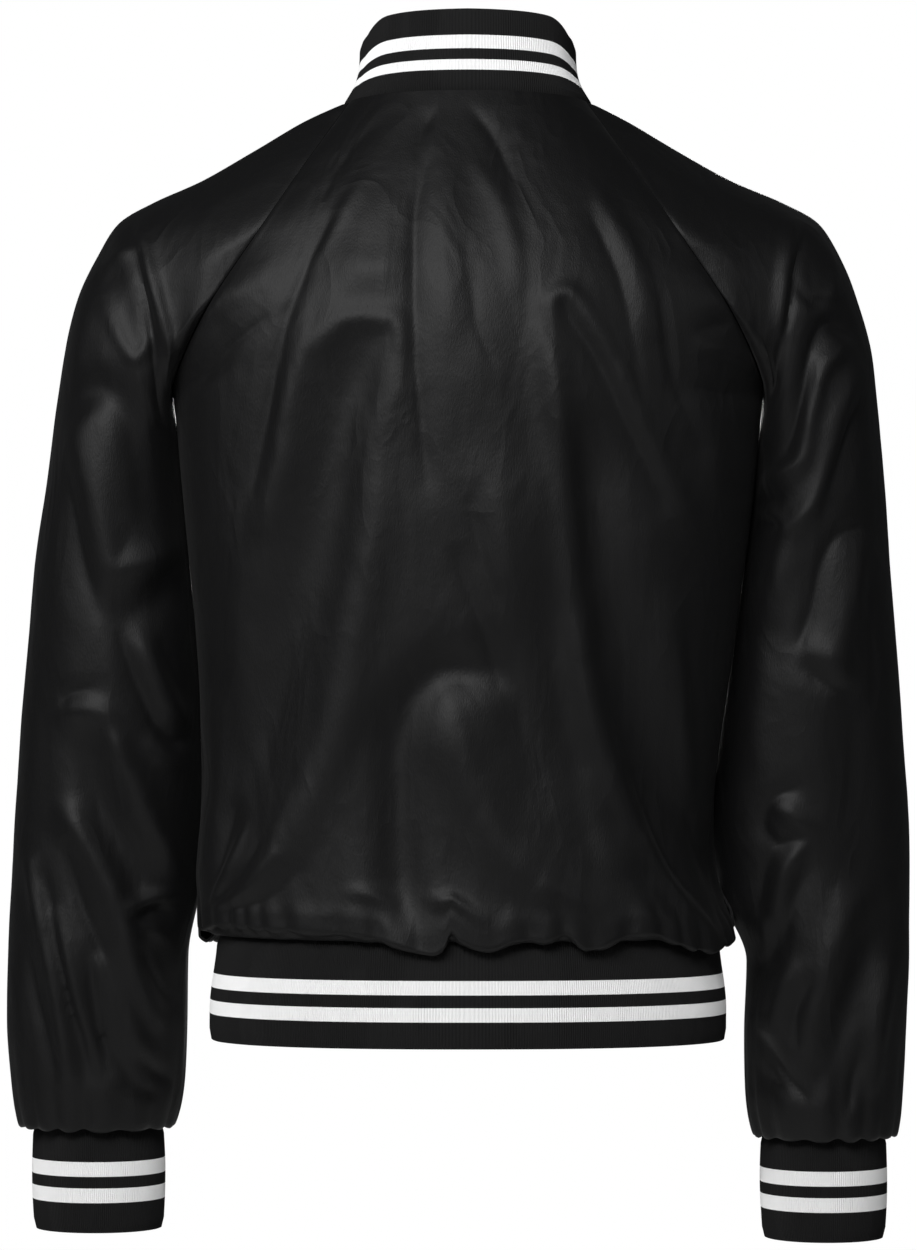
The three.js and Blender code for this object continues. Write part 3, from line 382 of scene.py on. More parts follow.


# %% [markdown]
# ## Folds
# Satin hangs in soft troughs and ridges that start at the shoulders, the underarms and the elbows
# and end in the gathered hems. A cloth simulation would put them somewhere else each time, so each
# is listed: half its width, its height, which is negative for a trough, and then the x and z
# of three or more points that its line runs through, in mm, as seen from behind or from the front.
# A ridge is round across, and a trough comes to a soft line at its bottom.

# %% Fold tables
BACK_FOLDS = [
    (6, -1.9, 67, -19, 81, -34, 102, -69),
    (9, -5.0, 95, -84, 115, -124, 129, -163, 140, -216, 153, -280),
    (6, 1.6, 74, -61, 93, -91, 109, -119),
    (6, -1.9, 21, -6, 31, -21, 37, -42),
    (7, -3.5, 29, -47, 38, -97, 38, -167, 34, -220, 28, -273),
    (6, -2.5, -1, -6, -17, -27, -33, -63),
    (8, 1.6, -7, -51, -24, -80, -36, -132),
    (8, 2.5, -92, -72, -113, -111, -131, -167),
    (6, -2.5, -87, -86, -108, -136, -122, -216),
    (6, -3.3, -134, -139, -143, -191, -164, -248),
    (8, 3.4, -59, -163, -58, -147, -69, -141, -92, -170, -127, -237, -140, -265, -155, -294),
    (8, -5.2, -66, -151, -91, -189, -112, -234, -124, -258, -140, -290),
    (11, 5.4, -56, -174, -63, -223, -71, -286, -77, -356, -85, -426, -101, -475, -127, -531),
    (6, 4.1, -127, -523, -145, -556, -178, -588),
    (9, 2.9, 105, -178, 83, -159, 56, -159, 49, -163, 46, -177),
    (29, -11.6, 63, -177, 83, -216, 95, -265, 114, -335, 132, -391, 149, -447, 170, -489),
    (18, 6.5, 49, -177, 57, -206, 70, -251, 71, -307, 81, -370, 92, -440, 113, -496, 135, -531, 172, -562),
    (11, 4.1, 114, -167, 126, -216, 134, -265, 140, -286, 143, -306),
    (17, -8.8, -14, -408, 13, -404, 36, -422, 49, -461, 49, -510, 48, -545, 43, -576),
    (18, 6.4, 13, -437, 3, -468, -10, -500, -26, -531, -57, -558),
    (12, 3.3, -54, -558, -71, -565, -92, -572),
    (19, 4.6, -17, -272, -27, -314, -31, -349),
    (4, -2.1, 9, -324, -3, -357, -22, -413),
    (6, -2.5, -1, -286, -10, -328, -22, -363),
    (23, -11.0, -84, -244, -88, -279, -92, -318, -105, -377, -122, -443, -137, -489, -162, -552),
    (10, 3.3, -141, -356, -150, -419, -162, -489),
    (6, -2.9, -155, -384, -162, -447, -167, -496),
    (4, -3.3, -162, -510, -173, -546, -186, -584),
    (4, -3.3, -120, -482, -143, -532, -183, -590),
    (20, -6.2, -56, -370, -69, -447, -91, -517),
    (10, 2.5, -85, -482, -96, -524, -120, -574),
    (15, -5.2, -22, -384, -34, -433, -50, -489),
    (4, -3.7, 168, -504, 175, -539, 185, -572),
    (4, 2.9, 159, -518, 169, -546, 183, -574),
    (3, -2.5, 144, -525, 161, -551, 182, -577),
    (5, 2.5, 133, -534, 154, -560, 177, -580),
    (4, -2.1, 118, -544, 144, -570, 170, -584),
    (9, 3.3, 184, -426, 182, -482, 188, -552),
    (13, 2.5, 160, -384, 162, -440, 165, -496),
    (8, -2.5, 170, -328, 178, -370, 182, -419),
    (4, -2.1, 198, -202, 184, -196, 169, -189),
    (4, -2.1, 144, -159, 171, -180, 188, -198),
    (5, -1.9, -162, -167, -180, -161, -196, -159),
    (6, 2.5, -166, -177, -187, -182, -204, -189),
    (5, -2.5, -162, -206, -183, -210, -203, -208),
    (11, 3.3, -155, -223, -173, -251, -178, -286),
    (5, 2.9, 25, -563, 14, -566, -10, -577),
    (6, 2.1, 81, -560, 67, -563, 53, -570),
    (14, 1.9, 20, -41, 13, -118, 15, -167),
    (20, -3.1, -36, -146, -43, -216, -54, -265),
    (5, -1.7, -1, -132, -7, -167, -17, -188),
    (13, 1.9, 83, -118, 67, -124, 49, -119),
    (11, 1.9, 181, -153, 165, -140, 144, -124),
]
LEFT_SLEEVE_FOLDS = [
    (30, -8.2, 225, -94, 218, -136, 210, -178),
    (4, -4.5, 241, -86, 233, -130, 225, -172, 219, -208, 210, -253, 206, -284, 199, -309),
    (6, 5.1, 236, -89, 225, -136, 211, -182),
    (15, -4.1, 257, -116, 245, -146, 235, -175),
    (5, 2.2, 262, -134, 250, -166, 237, -185, 231, -180, 226, -170),
    (5, 1.9, 241, -104, 252, -109, 262, -120),
    (10, 2.8, 268, -116, 275, -157, 281, -199),
    (15, -7.3, 281, -215, 265, -204, 248, -216, 233, -253, 227, -299),
    (12, 5.4, 277, -231, 267, -277, 252, -334, 227, -328, 201, -313),
    (15, -6.4, 248, -368, 218, -353, 197, -331),
    (7, -3.7, 285, -269, 277, -314, 264, -364),
    (5, -4.9, 248, -381, 233, -419, 218, -449, 206, -457, 194, -450),
    (9, 6.1, 230, -391, 217, -425, 200, -443),
    (7, 2.8, 225, -460, 210, -470, 197, -460),
    (4, -2.8, 291, -428, 282, -421, 269, -418),
    (10, 4.7, 286, -433, 261, -436, 248, -466),
    (10, 7.5, 251, -458, 233, -501, 208, -545),
    (15, -9.4, 278, -456, 262, -503, 233, -558),
    (10, 6.8, 286, -506, 267, -537, 250, -574, 240, -612, 224, -655),
    (6, -5.9, 291, -533, 278, -570, 262, -607, 255, -628, 245, -660),
    (5, 4.7, 241, -575, 228, -570, 211, -567),
    (5, -6.1, 237, -583, 223, -578, 208, -585),
    (4, 2.8, 233, -587, 220, -594, 210, -605),
    (5, -6.1, 235, -605, 223, -630, 203, -653),
    (5, 4.2, 227, -615, 213, -636, 201, -646),
    (6, 5.1, 315, -545, 306, -586, 296, -635, 292, -660, 286, -696),
    (5, -4.7, 318, -607, 311, -641, 299, -690),
    (5, -4.9, 305, -554, 295, -600, 285, -646, 279, -667, 272, -696),
    (6, 5.1, 296, -581, 284, -625, 269, -674),
    (7, 5.1, 261, -614, 247, -650, 228, -690),
    (5, -5.1, 272, -611, 267, -646, 258, -693),
    (4, -4.2, 268, -660, 255, -679, 241, -699),
    (4, -4.2, 237, -682, 224, -694, 210, -704),
    (3, -2.3, 244, -701, 234, -707, 224, -710),
    (16, -2.9, 303, -384, 301, -455, 302, -526),
    (6, -2.8, 218, -384, 211, -405, 204, -426),
]
RIGHT_SLEEVE_FOLDS = [
    (30, -8.2, -223, -97, -216, -143, -208, -192),
    (4, -5.1, -240, -87, -234, -120, -230, -148, -223, -177, -209, -219),
    (6, 4.7, -235, -87, -229, -116, -223, -168),
    (7, -3.3, -251, -103, -247, -120, -248, -137),
    (3, -2.8, -238, -131, -247, -143, -259, -145),
    (4, 2.3, -259, -145, -262, -123, -260, -103),
    (7, -6.1, -273, -165, -259, -158, -246, -178, -237, -211, -224, -250),
    (7, 4.7, -269, -171, -252, -191, -243, -221, -237, -255, -201, -275),
    (8, 4.9, -278, -191, -266, -221, -258, -249, -246, -286, -225, -308),
    (5, -4.2, -278, -217, -267, -243, -251, -293),
    (5, -4.2, -200, -279, -210, -283, -220, -284),
    (5, 2.8, -199, -289, -213, -293, -225, -304),
    (5, -4.7, -200, -296, -211, -300, -221, -303),
    (9, -5.6, -284, -303, -264, -309, -251, -331, -244, -362, -234, -391),
    (10, 3.7, -225, -316, -218, -341, -210, -365),
    (11, 4.2, -279, -316, -272, -357, -261, -399),
    (7, -2.8, -286, -327, -289, -377, -292, -426),
    (10, 3.3, -245, -389, -264, -404, -259, -429),
    (4, -3.3, -238, -401, -251, -413, -269, -421),
    (11, 2.3, -204, -384, -208, -426, -207, -469),
    (4, -3.7, -235, -489, -218, -497, -210, -515, -221, -529, -240, -524),
    (8, 4.2, -221, -501, -233, -510, -244, -520),
    (8, 5.1, -238, -530, -227, -551, -220, -577),
    (5, -4.2, -217, -533, -210, -557, -207, -582),
    (5, -4.2, -244, -544, -233, -568, -225, -601),
    (5, -7.0, -220, -596, -214, -616, -199, -625),
    (6, 5.1, -211, -585, -214, -605, -201, -615),
    (15, -8.8, -295, -586, -279, -626, -254, -697),
    (14, 7.0, -271, -572, -259, -619, -244, -674),
    (7, 5.1, -301, -621, -295, -660, -289, -704),
    (5, -4.7, -244, -632, -234, -655, -235, -676),
    (9, 4.7, -235, -618, -225, -639, -217, -667),
    (4, -5.1, -208, -667, -224, -691, -241, -711),
    (4, -3.7, -204, -684, -214, -699, -227, -708),
    (5, -5.6, -284, -680, -277, -700, -274, -720),
    (16, -2.9, -271, -426, -277, -490, -279, -554),
]
FRONT_FOLDS = [
    (14, 2.9, 84, -62, 96, -120, 88, -176, 84, -240, 92, -310),
    (15, -4.0, 132, -128, 126, -190, 132, -250, 128, -320, 138, -392),
    (15, -2.3, 60, -120, 58, -190, 66, -262),
    (11, 2.6, 112, -150, 108, -214, 112, -272),
    (12, 2.9, 160, -196, 152, -262, 158, -330),
    (11, -2.6, 176, -212, 168, -280, 176, -352),
    (17, 3.8, 62, -300, 74, -372, 66, -452, 60, -515, 66, -574),
    (16, -3.9, 102, -352, 92, -426, 104, -500, 110, -540, 122, -580),
    (14, 3.2, 142, -400, 130, -470, 142, -540, 150, -562, 158, -586),
    (12, -3.2, 170, -430, 164, -500, 174, -572),
    (12, -2.6, 42, -440, 38, -500, 44, -566),
    (8, 2.6, 84, -520, 86, -552, 92, -584),
    (12, -1.6, 30, -200, 34, -280, 30, -360),
    (11, 2.0, 120, -300, 100, -316, 82, -312),
    (14, 3.1, -78, -70, -92, -132, -88, -196, -92, -268, -104, -340),
    (15, -3.9, -136, -134, -128, -200, -136, -266, -142, -330, -134, -404),
    (14, -2.3, -56, -128, -62, -204, -58, -282),
    (11, 2.3, -114, -160, -112, -222, -118, -284),
    (12, 2.9, -164, -200, -158, -266, -166, -336),
    (11, -2.6, -180, -216, -176, -290, -180, -360),
    (16, 3.4, -60, -310, -72, -388, -70, -466, -62, -520, -70, -576),
    (15, -3.7, -98, -362, -96, -440, -106, -512, -118, -548, -132, -580),
    (16, 3.9, -134, -410, -134, -476, -146, -548),
    (12, -3.2, -172, -424, -166, -494, -178, -568),
    (11, -2.6, -40, -452, -44, -512, -38, -572),
    (8, 2.6, -86, -530, -90, -560, -98, -586),
    (12, -1.6, -34, -230, -38, -310, -34, -392),
    (11, 2.0, -118, -306, -100, -326, -78, -322),
]
print("folds:", len(BACK_FOLDS), "on the back,", len(FRONT_FOLDS), "on the fronts")


# %% Fold heights
SOFT_LINE = 1.6
BROAD = 15.0


def fold_height(folds, x, z):
    """The height of a table of folds at the places (x, z): the sum of height fade(t) profile(d).
    With d_i the distance to each point of a fold's line, w_i = exp(-d_i^2 / s^2) ds_i and s half
    the width, d^2 = -s^2 ln(sum w_i / (sqrt(pi) s)) and t = sum w_i t_i / sum w_i, so that nothing
    breaks inside a bend. The profile is exp(-(d / width)^2) for a ridge and a broad trough, and
    exp(-(sqrt(d^2 + r^2) - r) / width) for a narrow trough, with r = 1.6 mm. fade rises from
    about a half at either end to 1 a point on."""
    total = np.zeros_like(x)
    for width, height, *line in folds:
        points = np.array(line, float).reshape(-1, 2)
        last = len(points) - 1
        t = np.linspace(0, last, 14 * last + 1)
        line_x, line_z = (through(np.arange(last + 1.0), axis, t) for axis in points.T)
        length = np.hypot(np.gradient(line_x), np.gradient(line_z))
        reach = 3.2 * width
        near = ((x > line_x.min() - reach) & (x < line_x.max() + reach)
                & (z > line_z.min() - reach) & (z < line_z.max() + reach))
        if not near.any():
            continue
        d2 = (x[near][:, None] - line_x)**2 + (z[near][:, None] - line_z)**2
        least = d2.min(1)
        scale = width / 2
        weight = np.exp((least[:, None] - d2) / scale**2) * length
        weights = weight.sum(1)
        distance2 = np.maximum(least - scale**2 * np.log(weights / (np.sqrt(np.pi) * scale)), 0)
        here = weight @ t / weights
        from_end = np.clip(np.minimum(here, last - here), 0, 1)
        fade = np.sqrt(np.sin(np.pi / 2 * lerp(0.15, 1, from_end)))
        crisp = height < 0 and width < BROAD
        profile = (np.exp(-(np.sqrt(distance2 + SOFT_LINE**2) - SOFT_LINE) / width) if crisp
                   else np.exp(-distance2 / width**2))
        total[near] += height * fade * profile * smooth((reach - np.sqrt(distance2)) / width)
    return total


# %% Small unevenness
LATTICE = 64


def noise(seed, x, z, size_x, size_z):
    """Smooth seeded noise from -1 to 1: random heights on a lattice, joined by smooth steps."""
    lattice = np.random.default_rng(seed).uniform(-1, 1, (LATTICE, LATTICE))
    u, v = x / size_x + 31.3, z / size_z + 57.7
    i, j = np.floor(u).astype(int), np.floor(v).astype(int)
    a, b = smooth(u - i), smooth(v - j)
    i0, i1, j0, j1 = i % LATTICE, (i + 1) % LATTICE, j % LATTICE, (j + 1) % LATTICE
    low = lerp(lattice[i0, j0], lattice[i1, j0], a)
    high = lerp(lattice[i0, j1], lattice[i1, j1], a)
    return lerp(low, high, b)


def creases(seed, x, z, size, turn):
    """Faint creases, longer than wide: 1 - |noise| has a ridge wherever the noise is 0."""
    c, s = np.cos(turn), np.sin(turn)
    u, v = c * x + s * z, c * z - s * x
    bent = u + 0.5 * size * noise(seed + 1, u, v, 2 * size, 3 * size)
    return 1 - 2 * np.abs(noise(seed, bent, v, size, 3.2 * size))


def unevenness(seed, x, z):
    """What the listed folds leave out: broad slack, and faint creases across it."""
    slack = 0.9 * noise(seed, x, z, 46, 95) + 0.35 * noise(seed + 3, x + 0.3 * z, z, 24, 55)
    return slack + 0.10 * creases(seed + 5, x, z, 21, 0.35) + 0.07 * creases(seed + 9, x, z, 15, -0.5)


print("unevenness at the middle of the back:", np.round(unevenness(7, np.zeros(1), np.zeros(1)), 2))


# %% [markdown]
# ## Gathers
# The satin is longer round than the rib knit that it is sewn to, so it puckers above the waistband
# and the cuffs, in unevenly spaced waves that die out within a few centimetres.

# %% Gathers and the hem's lip
HEM_GATHERS_BACK, HEM_GATHERS_FRONT, CUFF_GATHERS = 19, 9, 17
HEM_LIP = columns("x rise", [
    (-193, -2), (-187, -3), (-172, -7), (-144, 1), (-127, 7), (-108, 4), (-92, -2), (-83, -3),
    (-69, 7), (-50, 3), (-34, 3), (-14, -3), (6, 3), (12, 9), (17, -3), (25, -7), (50, 0),
    (83, 7), (136, 9), (174, 11), (193, 6),
])


def gather(along, count, sharp=0.0):
    """Puckers of a gathered edge, uneven in width and depth. sharp narrows their troughs."""
    phase = count * along + 0.3 * np.sin(7.1 * along + 0.6) + 0.22 * np.sin(17.3 * along)
    depth = 0.72 + 0.28 * np.sin(23.7 * along + 1.1)
    wave = np.cos(2 * np.pi * phase)
    return depth * (wave - sharp * wave**2)


print("gathers:", HEM_GATHERS_BACK + 2 * HEM_GATHERS_FRONT, "at the hem,", CUFF_GATHERS, "a cuff")


# %% [markdown]
# ## From a grid of points to a cloth wall
# A wall is a grid of outer points, the same grid moved inwards along the surface's own normals, and
# a rim that closes its edges. Making all of it from arrays is fast, and keeps the two faces an even
# distance apart, which a hand-modelled shell would not.

# %% Walls
def grid_normals(points, closed):
    """Normals of a grid: the cross product of its steps along and down, made unit length."""
    if closed:
        wrapped = np.concatenate([points[:, -1:], points, points[:, :1]], 1)
        along = (wrapped[:, 2:] - wrapped[:, :-2]) / 2
    else:
        along = np.gradient(points, axis=1)
    down = np.gradient(points, axis=0)
    return unit(np.cross(along, down))


def turned(normals, ways):
    """The normals, or all of them turned round where they point against ways."""
    return normals if (normals * ways).sum() > 0 else -normals


def grid_faces(rows, cols, closed, first):
    """Corner numbers of a grid's quads, counted from first."""
    j, i = np.meshgrid(np.arange(rows - 1), np.arange(cols if closed else cols - 1), indexing="ij")
    k = (i + 1) % cols
    quad = np.stack([j * cols + i, j * cols + k, (j + 1) * cols + k, (j + 1) * cols + i], -1)
    return quad.reshape(-1, 4) + first


def rim(a, b):
    """Quads between two lines of corner numbers."""
    return np.stack([a[:-1], a[1:], b[1:], b[:-1]], -1)


def make_mesh(name, points, quads, fields):
    """A mesh from arrays: points in millimetres, quads, and named values for its points."""
    mesh = bpy.data.meshes.new(name)
    mesh.vertices.add(len(points))
    mesh.vertices.foreach_set("co", (points * MM).ravel())
    mesh.loops.add(quads.size)
    mesh.loops.foreach_set("vertex_index", quads.ravel().astype(np.int32))
    mesh.polygons.add(len(quads))
    mesh.polygons.foreach_set("loop_start", np.arange(0, quads.size, 4, dtype=np.int32))
    mesh.polygons.foreach_set("use_smooth", np.ones(len(quads), bool))
    for field, values in fields.items():
        layer = mesh.attributes.new(field, "FLOAT", "POINT")
        layer.data.foreach_set("value", values.astype(np.float32).ravel())
    mesh.update(calc_edges=True)
    mesh.validate()
    mesh.set_sharp_from_angle(angle=np.radians(55))
    piece = bpy.data.objects.new(name, mesh)
    bpy.context.collection.objects.link(piece)
    return piece


def make_wall(name, outer, inner, closed, fields):
    """A closed wall between two grids of points. It is turned inside out if its first faces don't
    look from inner to outer."""
    rows, cols = outer.shape[:2]
    count = rows * cols
    front = grid_faces(rows, cols, closed, 0)
    back = grid_faces(rows, cols, closed, count)[:, ::-1]
    numbers = np.arange(count).reshape(rows, cols)
    ring = np.append(np.arange(cols), 0) if closed else np.arange(cols)
    edges = [numbers[0, ring][::-1], numbers[-1, ring]]
    if not closed:
        edges += [numbers[:, 0], numbers[::-1, -1]]
    rims = [rim(line, line + count) for line in edges]
    quads = np.concatenate([front, back] + rims)
    flat, inside = outer.reshape(-1, 3), inner.reshape(-1, 3)
    a, b, _, d = front[::max(1, len(front) // 500)].T
    facing = np.cross(flat[b] - flat[a], flat[d] - flat[a])
    if (facing * (flat - inside)[a]).sum() < 0:
        quads = quads[:, ::-1]
    doubled = {key: np.tile(values.ravel(), 2) for key, values in fields.items()}
    return make_mesh(name, np.concatenate([flat, inside]), quads, doubled)


def flat_area(points, closed):
    """The area of a grid of points in square metres: the sum of its cells' cross products."""
    if closed:
        points = np.concatenate([points, points[:, :1]], 1)
    a = points[1:, 1:] - points[:-1, :-1]
    b = points[1:, :-1] - points[:-1, 1:]
    return float(np.linalg.norm(np.cross(a, b), axis=-1).sum() / 2 * MM * MM)


# %% [markdown]
# ## The seams
# Where two panels are sewn together the cloth dips into the seam and puffs up beside it. The dip
# depends only on how far a point is from its panel's edge, so it is computed from that distance.

# %% Seam relief
def seam_dip(distance, depth=0.5, puff=0.12):
    """Height beside a seam: -depth exp(-(d / 2.2)^2) + puff (d / 7) exp(1/2 - (d / 7)^2 / 2)."""
    return (-depth * np.exp(-(distance / 2.2)**2)
            + puff * (distance / 7) * np.exp(0.5 - (distance / 7)**2 / 2))


def edge_distance(points, edge):
    """The distance along each row or column of a grid from its edge: first or last."""
    step = np.linalg.norm(np.diff(points, axis=1), axis=-1)
    if edge == "last":
        step = step[:, ::-1]
    length = np.concatenate([np.zeros((len(points), 1)), np.cumsum(step, 1)], 1)
    return length[:, ::-1] if edge == "last" else length


# %% [markdown]
# ## The back
# The back is one panel from the neck seam to the waistband, and it carries most of the folds that
# show: long soft troughs fanning down from the shoulders and up from the gathered hem.

# %% Torso relief
SIDE_FADE = {BACK: 0.07, FRONT: 0.14}
PLACKET_FLAT = 16
HEM_PUCKER = 1.5
IRONED_FROM_EDGE, IRON_PASSES = 45, 90


def lip_rise(face, x, row):
    """How much higher or lower the hem's rolled lip is than its plain form."""
    share = smooth((row - 8.2) / 2.2) * smooth((1 + TORSO_LAST - row) / 1.2)
    return share * read(HEM_LIP, "rise", np.asarray(face * x), "x")


def torso_relief(face, across, row, base, seed):
    """The satin's height over the plain torso: folds, unevenness and the hem's gathers. Folds
    and unevenness fade beside the fronts' middle, so that the two plackets lie flat."""
    x, z = base[..., 0], base[..., 2]
    folds = BACK_FOLDS if face == BACK else FRONT_FOLDS
    at_side = smooth((1 - np.abs(across)) / SIDE_FADE[face])
    at_neck = smooth(row / 0.10)
    at_hem = smooth((1 + TORSO_LAST - row) / 2.6)
    height = fold_height(folds, x, z) + unevenness(seed, x, z)
    if face == FRONT:
        height *= smooth((np.abs(x) - PLACKET_FLAT) / PLACKET_FLAT)
    count = HEM_GATHERS_BACK / 2 if face == BACK else HEM_GATHERS_FRONT
    rise = smooth((row - 8.0) / 2.6)**1.5
    fall = smooth((TORSO_LAST + 1 - row) / 0.9)
    puckers = HEM_PUCKER * rise * fall * gather(face * across + 2, count, 0.35)
    return height * at_side * at_neck * at_hem + puckers * at_side


def edge_gap(outer, edges):
    """Draws edge columns in towards the columns beside them, by half the seam's gap."""
    for edge, beside in edges:
        outer[:, edge] += unit(outer[:, beside] - outer[:, edge]) * SEAM_GAP / 2


def ironed(base, row):
    """The plain form evened out down each column, away from its edges: a point becomes
    (above + 2 point + below) / 4, many times over."""
    inside = np.minimum(edge_distance(base, "first"), edge_distance(base, "last"))
    share = np.maximum(smooth(inside / IRONED_FROM_EDGE), smooth((row - 1.15) / 0.3))
    share = share * smooth(row / 0.25) * smooth((9.0 - row) / 2)
    even_form = base.copy()
    for _ in range(IRON_PASSES):
        even_form[1:-1] = (even_form[:-2] + 2 * even_form[1:-1] + even_form[2:]) / 4
    return lerp(base, even_form, share[..., None])


# %% Back
def outward(points, face):
    """Normals of a torso panel's points, on the side that faces out."""
    return turned(grid_normals(points, False), [0, face, 0])


def torso_panel(face, across, row, seed, lift=0.0):
    """A panel's outer points: the plain form, moved out by its relief, with its hem's lip."""
    base = ironed(torso_point(face, across, row), row)
    normals = outward(base, face)
    side = np.minimum(edge_distance(base, "first"), edge_distance(base, "last"))
    height = torso_relief(face, across, row, base, seed) + lift
    outer = base + normals * height[..., None]
    outer[..., 2] += lip_rise(face, outer[..., 0], row)
    outer[..., 1] += face * SEAM_GAP / 2 * np.clip(row, 0, 1)
    return base, outer, side


BACK_COLUMNS, BACK_ROWS, BACK_SEED = 216, 220, 11
share = np.linspace(-1, 1, BACK_COLUMNS)[None, :]
row = torso_rows(BACK, BACK_ROWS)[:, None]
across = even_across(share) + 0 * row
row = row + 0 * across
base, outer, side = torso_panel(BACK, across, row, BACK_SEED)
dip = seam_dip(side) * smooth((1.05 - row) / 0.1)
outer += outward(outer, BACK) * dip[..., None]
edge_gap(outer, [(0, 1), (-1, -2)])
back = make_wall("back_satin", outer, outer - outward(outer, BACK) * SATIN_WALL, False, {})
back_area = flat_area(outer, False)
print("back:", len(back.data.vertices), "points,", round(back_area, 3), "m2 of satin")


# %% [markdown]
# ## The fronts
# Two mirrored panels meet at the middle. The wearer's left one laps over the right one, which dips
# in by its thickness beneath it, until both butt together in the hem's turn.

# %% Fronts
FRONT_COLUMNS, FRONT_ROWS = 105, 200
BUTT_ROW = 10
PLACKET_WIDTH, STITCH_DEPTH, STITCH_REACH = 31, 0.55, 1.3


def across_at(row, x):
    """Where a row of the front reaches x: the inverse of torso_point's x."""
    r = torso_row(FRONT, row)
    end = end_angle(r)
    reach = r["endX"] / np.cos(end)**ROUND
    angle = np.arcsin((np.abs(x) / reach)**(1 / ROUND))
    return np.sign(x) * angle / (np.pi / 2 - end)


def make_front(name, side, seed):
    """One front panel, from its lapped edge to its seams."""
    row = torso_rows(FRONT, FRONT_ROWS)[:, None]
    reach = lerp(FRONT_LAP, -BUTT_GAP / 2, smooth(row - BUTT_ROW))
    edge = across_at(row, -side * reach - torso_row(FRONT, row)["shift"])
    share = np.linspace(0, 1, FRONT_COLUMNS)[None, :]
    across = even_across(lerp(share_of_across(edge), side, share))
    row = row + 0 * across
    x = torso_point(FRONT, across, row)[..., 0]
    eased = 1 - smooth((-x - LAP_EASE) / LAP_EASE)
    dip = -LAP_DIP * eased * (1 - smooth(row - BUTT_ROW - 1)) if side < 0 else 0.0
    base, outer, _ = torso_panel(FRONT, across, row, seed, dip)
    normals = outward(outer, FRONT)
    seam = seam_dip(edge_distance(base, "last")) * smooth((1.05 - row) / 0.1)
    from_lap = edge_distance(base, "first")
    stitch = -STITCH_DEPTH * np.exp(-((from_lap - PLACKET_WIDTH) / STITCH_REACH)**2)
    outer = outer + normals * (seam + stitch)[..., None]
    edge_gap(outer, [(-1, -2)])
    inner = outer - outward(outer, FRONT) * SATIN_WALL
    return make_wall(name, outer, inner, False, {}), flat_area(outer, False)


front_left, front_area = make_front("front_left_satin", 1, 23)
front_right, _ = make_front("front_right_satin", -1, 37)
print("each front:", round(front_area, 3), "m2 of satin")


# %% [markdown]
# ## The sleeves
# Each sleeve is one tube. Its folds are placed as they are seen from behind, and again as they are
# seen from the front, and each set fades out where the tube turns away. The front's set is the
# other sleeve's back set, mirrored and shifted a little, so that no two faces look alike.

# %% Sleeves
SLEEVE_COLUMNS, SLEEVE_ROWS = 150, 250
SLEEVE_RADIUS = 62
CUFF_PUCKER = 1.7
MIRROR_SOFTER, MIRROR_DROP = 0.85, 16
UNDERARM_AT, UNDERARM_REACH, UNDERARM_SWELL = -226, 15, {1: 1.3, -1: 1.0}


def sleeve_relief(side, ring, turn, base, normals, seed):
    """The sleeve's height over its plain form: folds, slack, puckers above the cuff, and a swell
    that rests against the body just under the arm."""
    x, z = base[..., 0], base[..., 2]
    behind, ahead = LEFT_SLEEVE_FOLDS, mirrored(RIGHT_SLEEVE_FOLDS)
    if side < 0:
        behind, ahead = RIGHT_SLEEVE_FOLDS, mirrored(LEFT_SLEEVE_FOLDS)
    facing = normals[..., 1]
    height = (fold_height(behind, x, z) * smooth(facing / 0.3)
              + fold_height(ahead, x, z) * smooth(-facing / 0.3))
    bulk = smooth((ring - 1.2) / 2.0) * smooth((SLEEVE_LAST - ring) / 2.4)
    from_body = np.minimum(turn, 1 - turn)
    beside_body = smooth((from_body - 0.05) / 0.09)
    slack = unevenness(seed, SLEEVE_RADIUS * 2 * np.pi * turn, z)
    slack *= smooth((from_body - 0.03) / 0.06)
    rise = smooth((ring - 15.5) / 4.5)**1.5
    fall = smooth((SLEEVE_LAST - ring) / 1.0)
    puckers = CUFF_PUCKER * rise * fall * gather(turn, CUFF_GATHERS, 0.35)
    inner = 1 - smooth(from_body / 0.16)
    swell = UNDERARM_SWELL[side] * np.exp(-((z - UNDERARM_AT) / UNDERARM_REACH)**2) * inner
    return (height + slack) * bulk * beside_body + puckers + swell


def mirrored(folds):
    """A fold table mirrored left to right, a little lower and a little softer."""
    return [(width, MIRROR_SOFTER * height,
             *(-x if i % 2 == 0 else x - MIRROR_DROP for i, x in enumerate(line)))
            for width, height, *line in folds]


def make_sleeve(name, side, seed):
    """One sleeve, from the armhole to the cuff."""
    turn = (np.arange(SLEEVE_COLUMNS) / SLEEVE_COLUMNS)[None, :]
    ring = sleeve_rings(side, SLEEVE_ROWS)[:, None]
    turn, ring = turn + 0 * ring, ring + 0 * turn
    base = sleeve_point(side, ring, turn)
    normals = turned(grid_normals(base, True), base - base.mean(1, keepdims=True))
    height = sleeve_relief(side, ring, turn, base, normals, seed)
    step = np.linalg.norm(np.diff(base, axis=0), axis=-1)
    from_seam = np.concatenate([np.zeros((1, base.shape[1])), np.cumsum(step, 0)])
    outer = base + normals * (height + seam_dip(from_seam))[..., None]
    outer[0] += unit(outer[1] - outer[0]) * SEAM_GAP / 2
    inner = outer - turned(grid_normals(outer, True), normals) * SATIN_WALL
    return make_wall(name, outer, inner, True, {}), flat_area(outer, True)


sleeve_left, sleeve_area = make_sleeve("sleeve_left_satin", 1, 41)
sleeve_right, _ = make_sleeve("sleeve_right_satin", -1, 53)
print("each sleeve:", round(sleeve_area, 3), "m2 of satin")


# %% [markdown]
# ## Rib knit
# The trims are 1x1 rib, knitted double and folded at the free edge. Its wales stand about 1.4 mm
# apart, which is too fine for the frame's solids, so they are raised here: a cosine round the trim
# with four points to a wale. The wall thins away to a half circle at both edges, so the free one is
# round, as a fold is.

# %% Rib walls
WALE, WALE_HEIGHT, WALE_POINTS = 1.4, 0.24, 4
HALF_WALL = RIB_WALL / 2


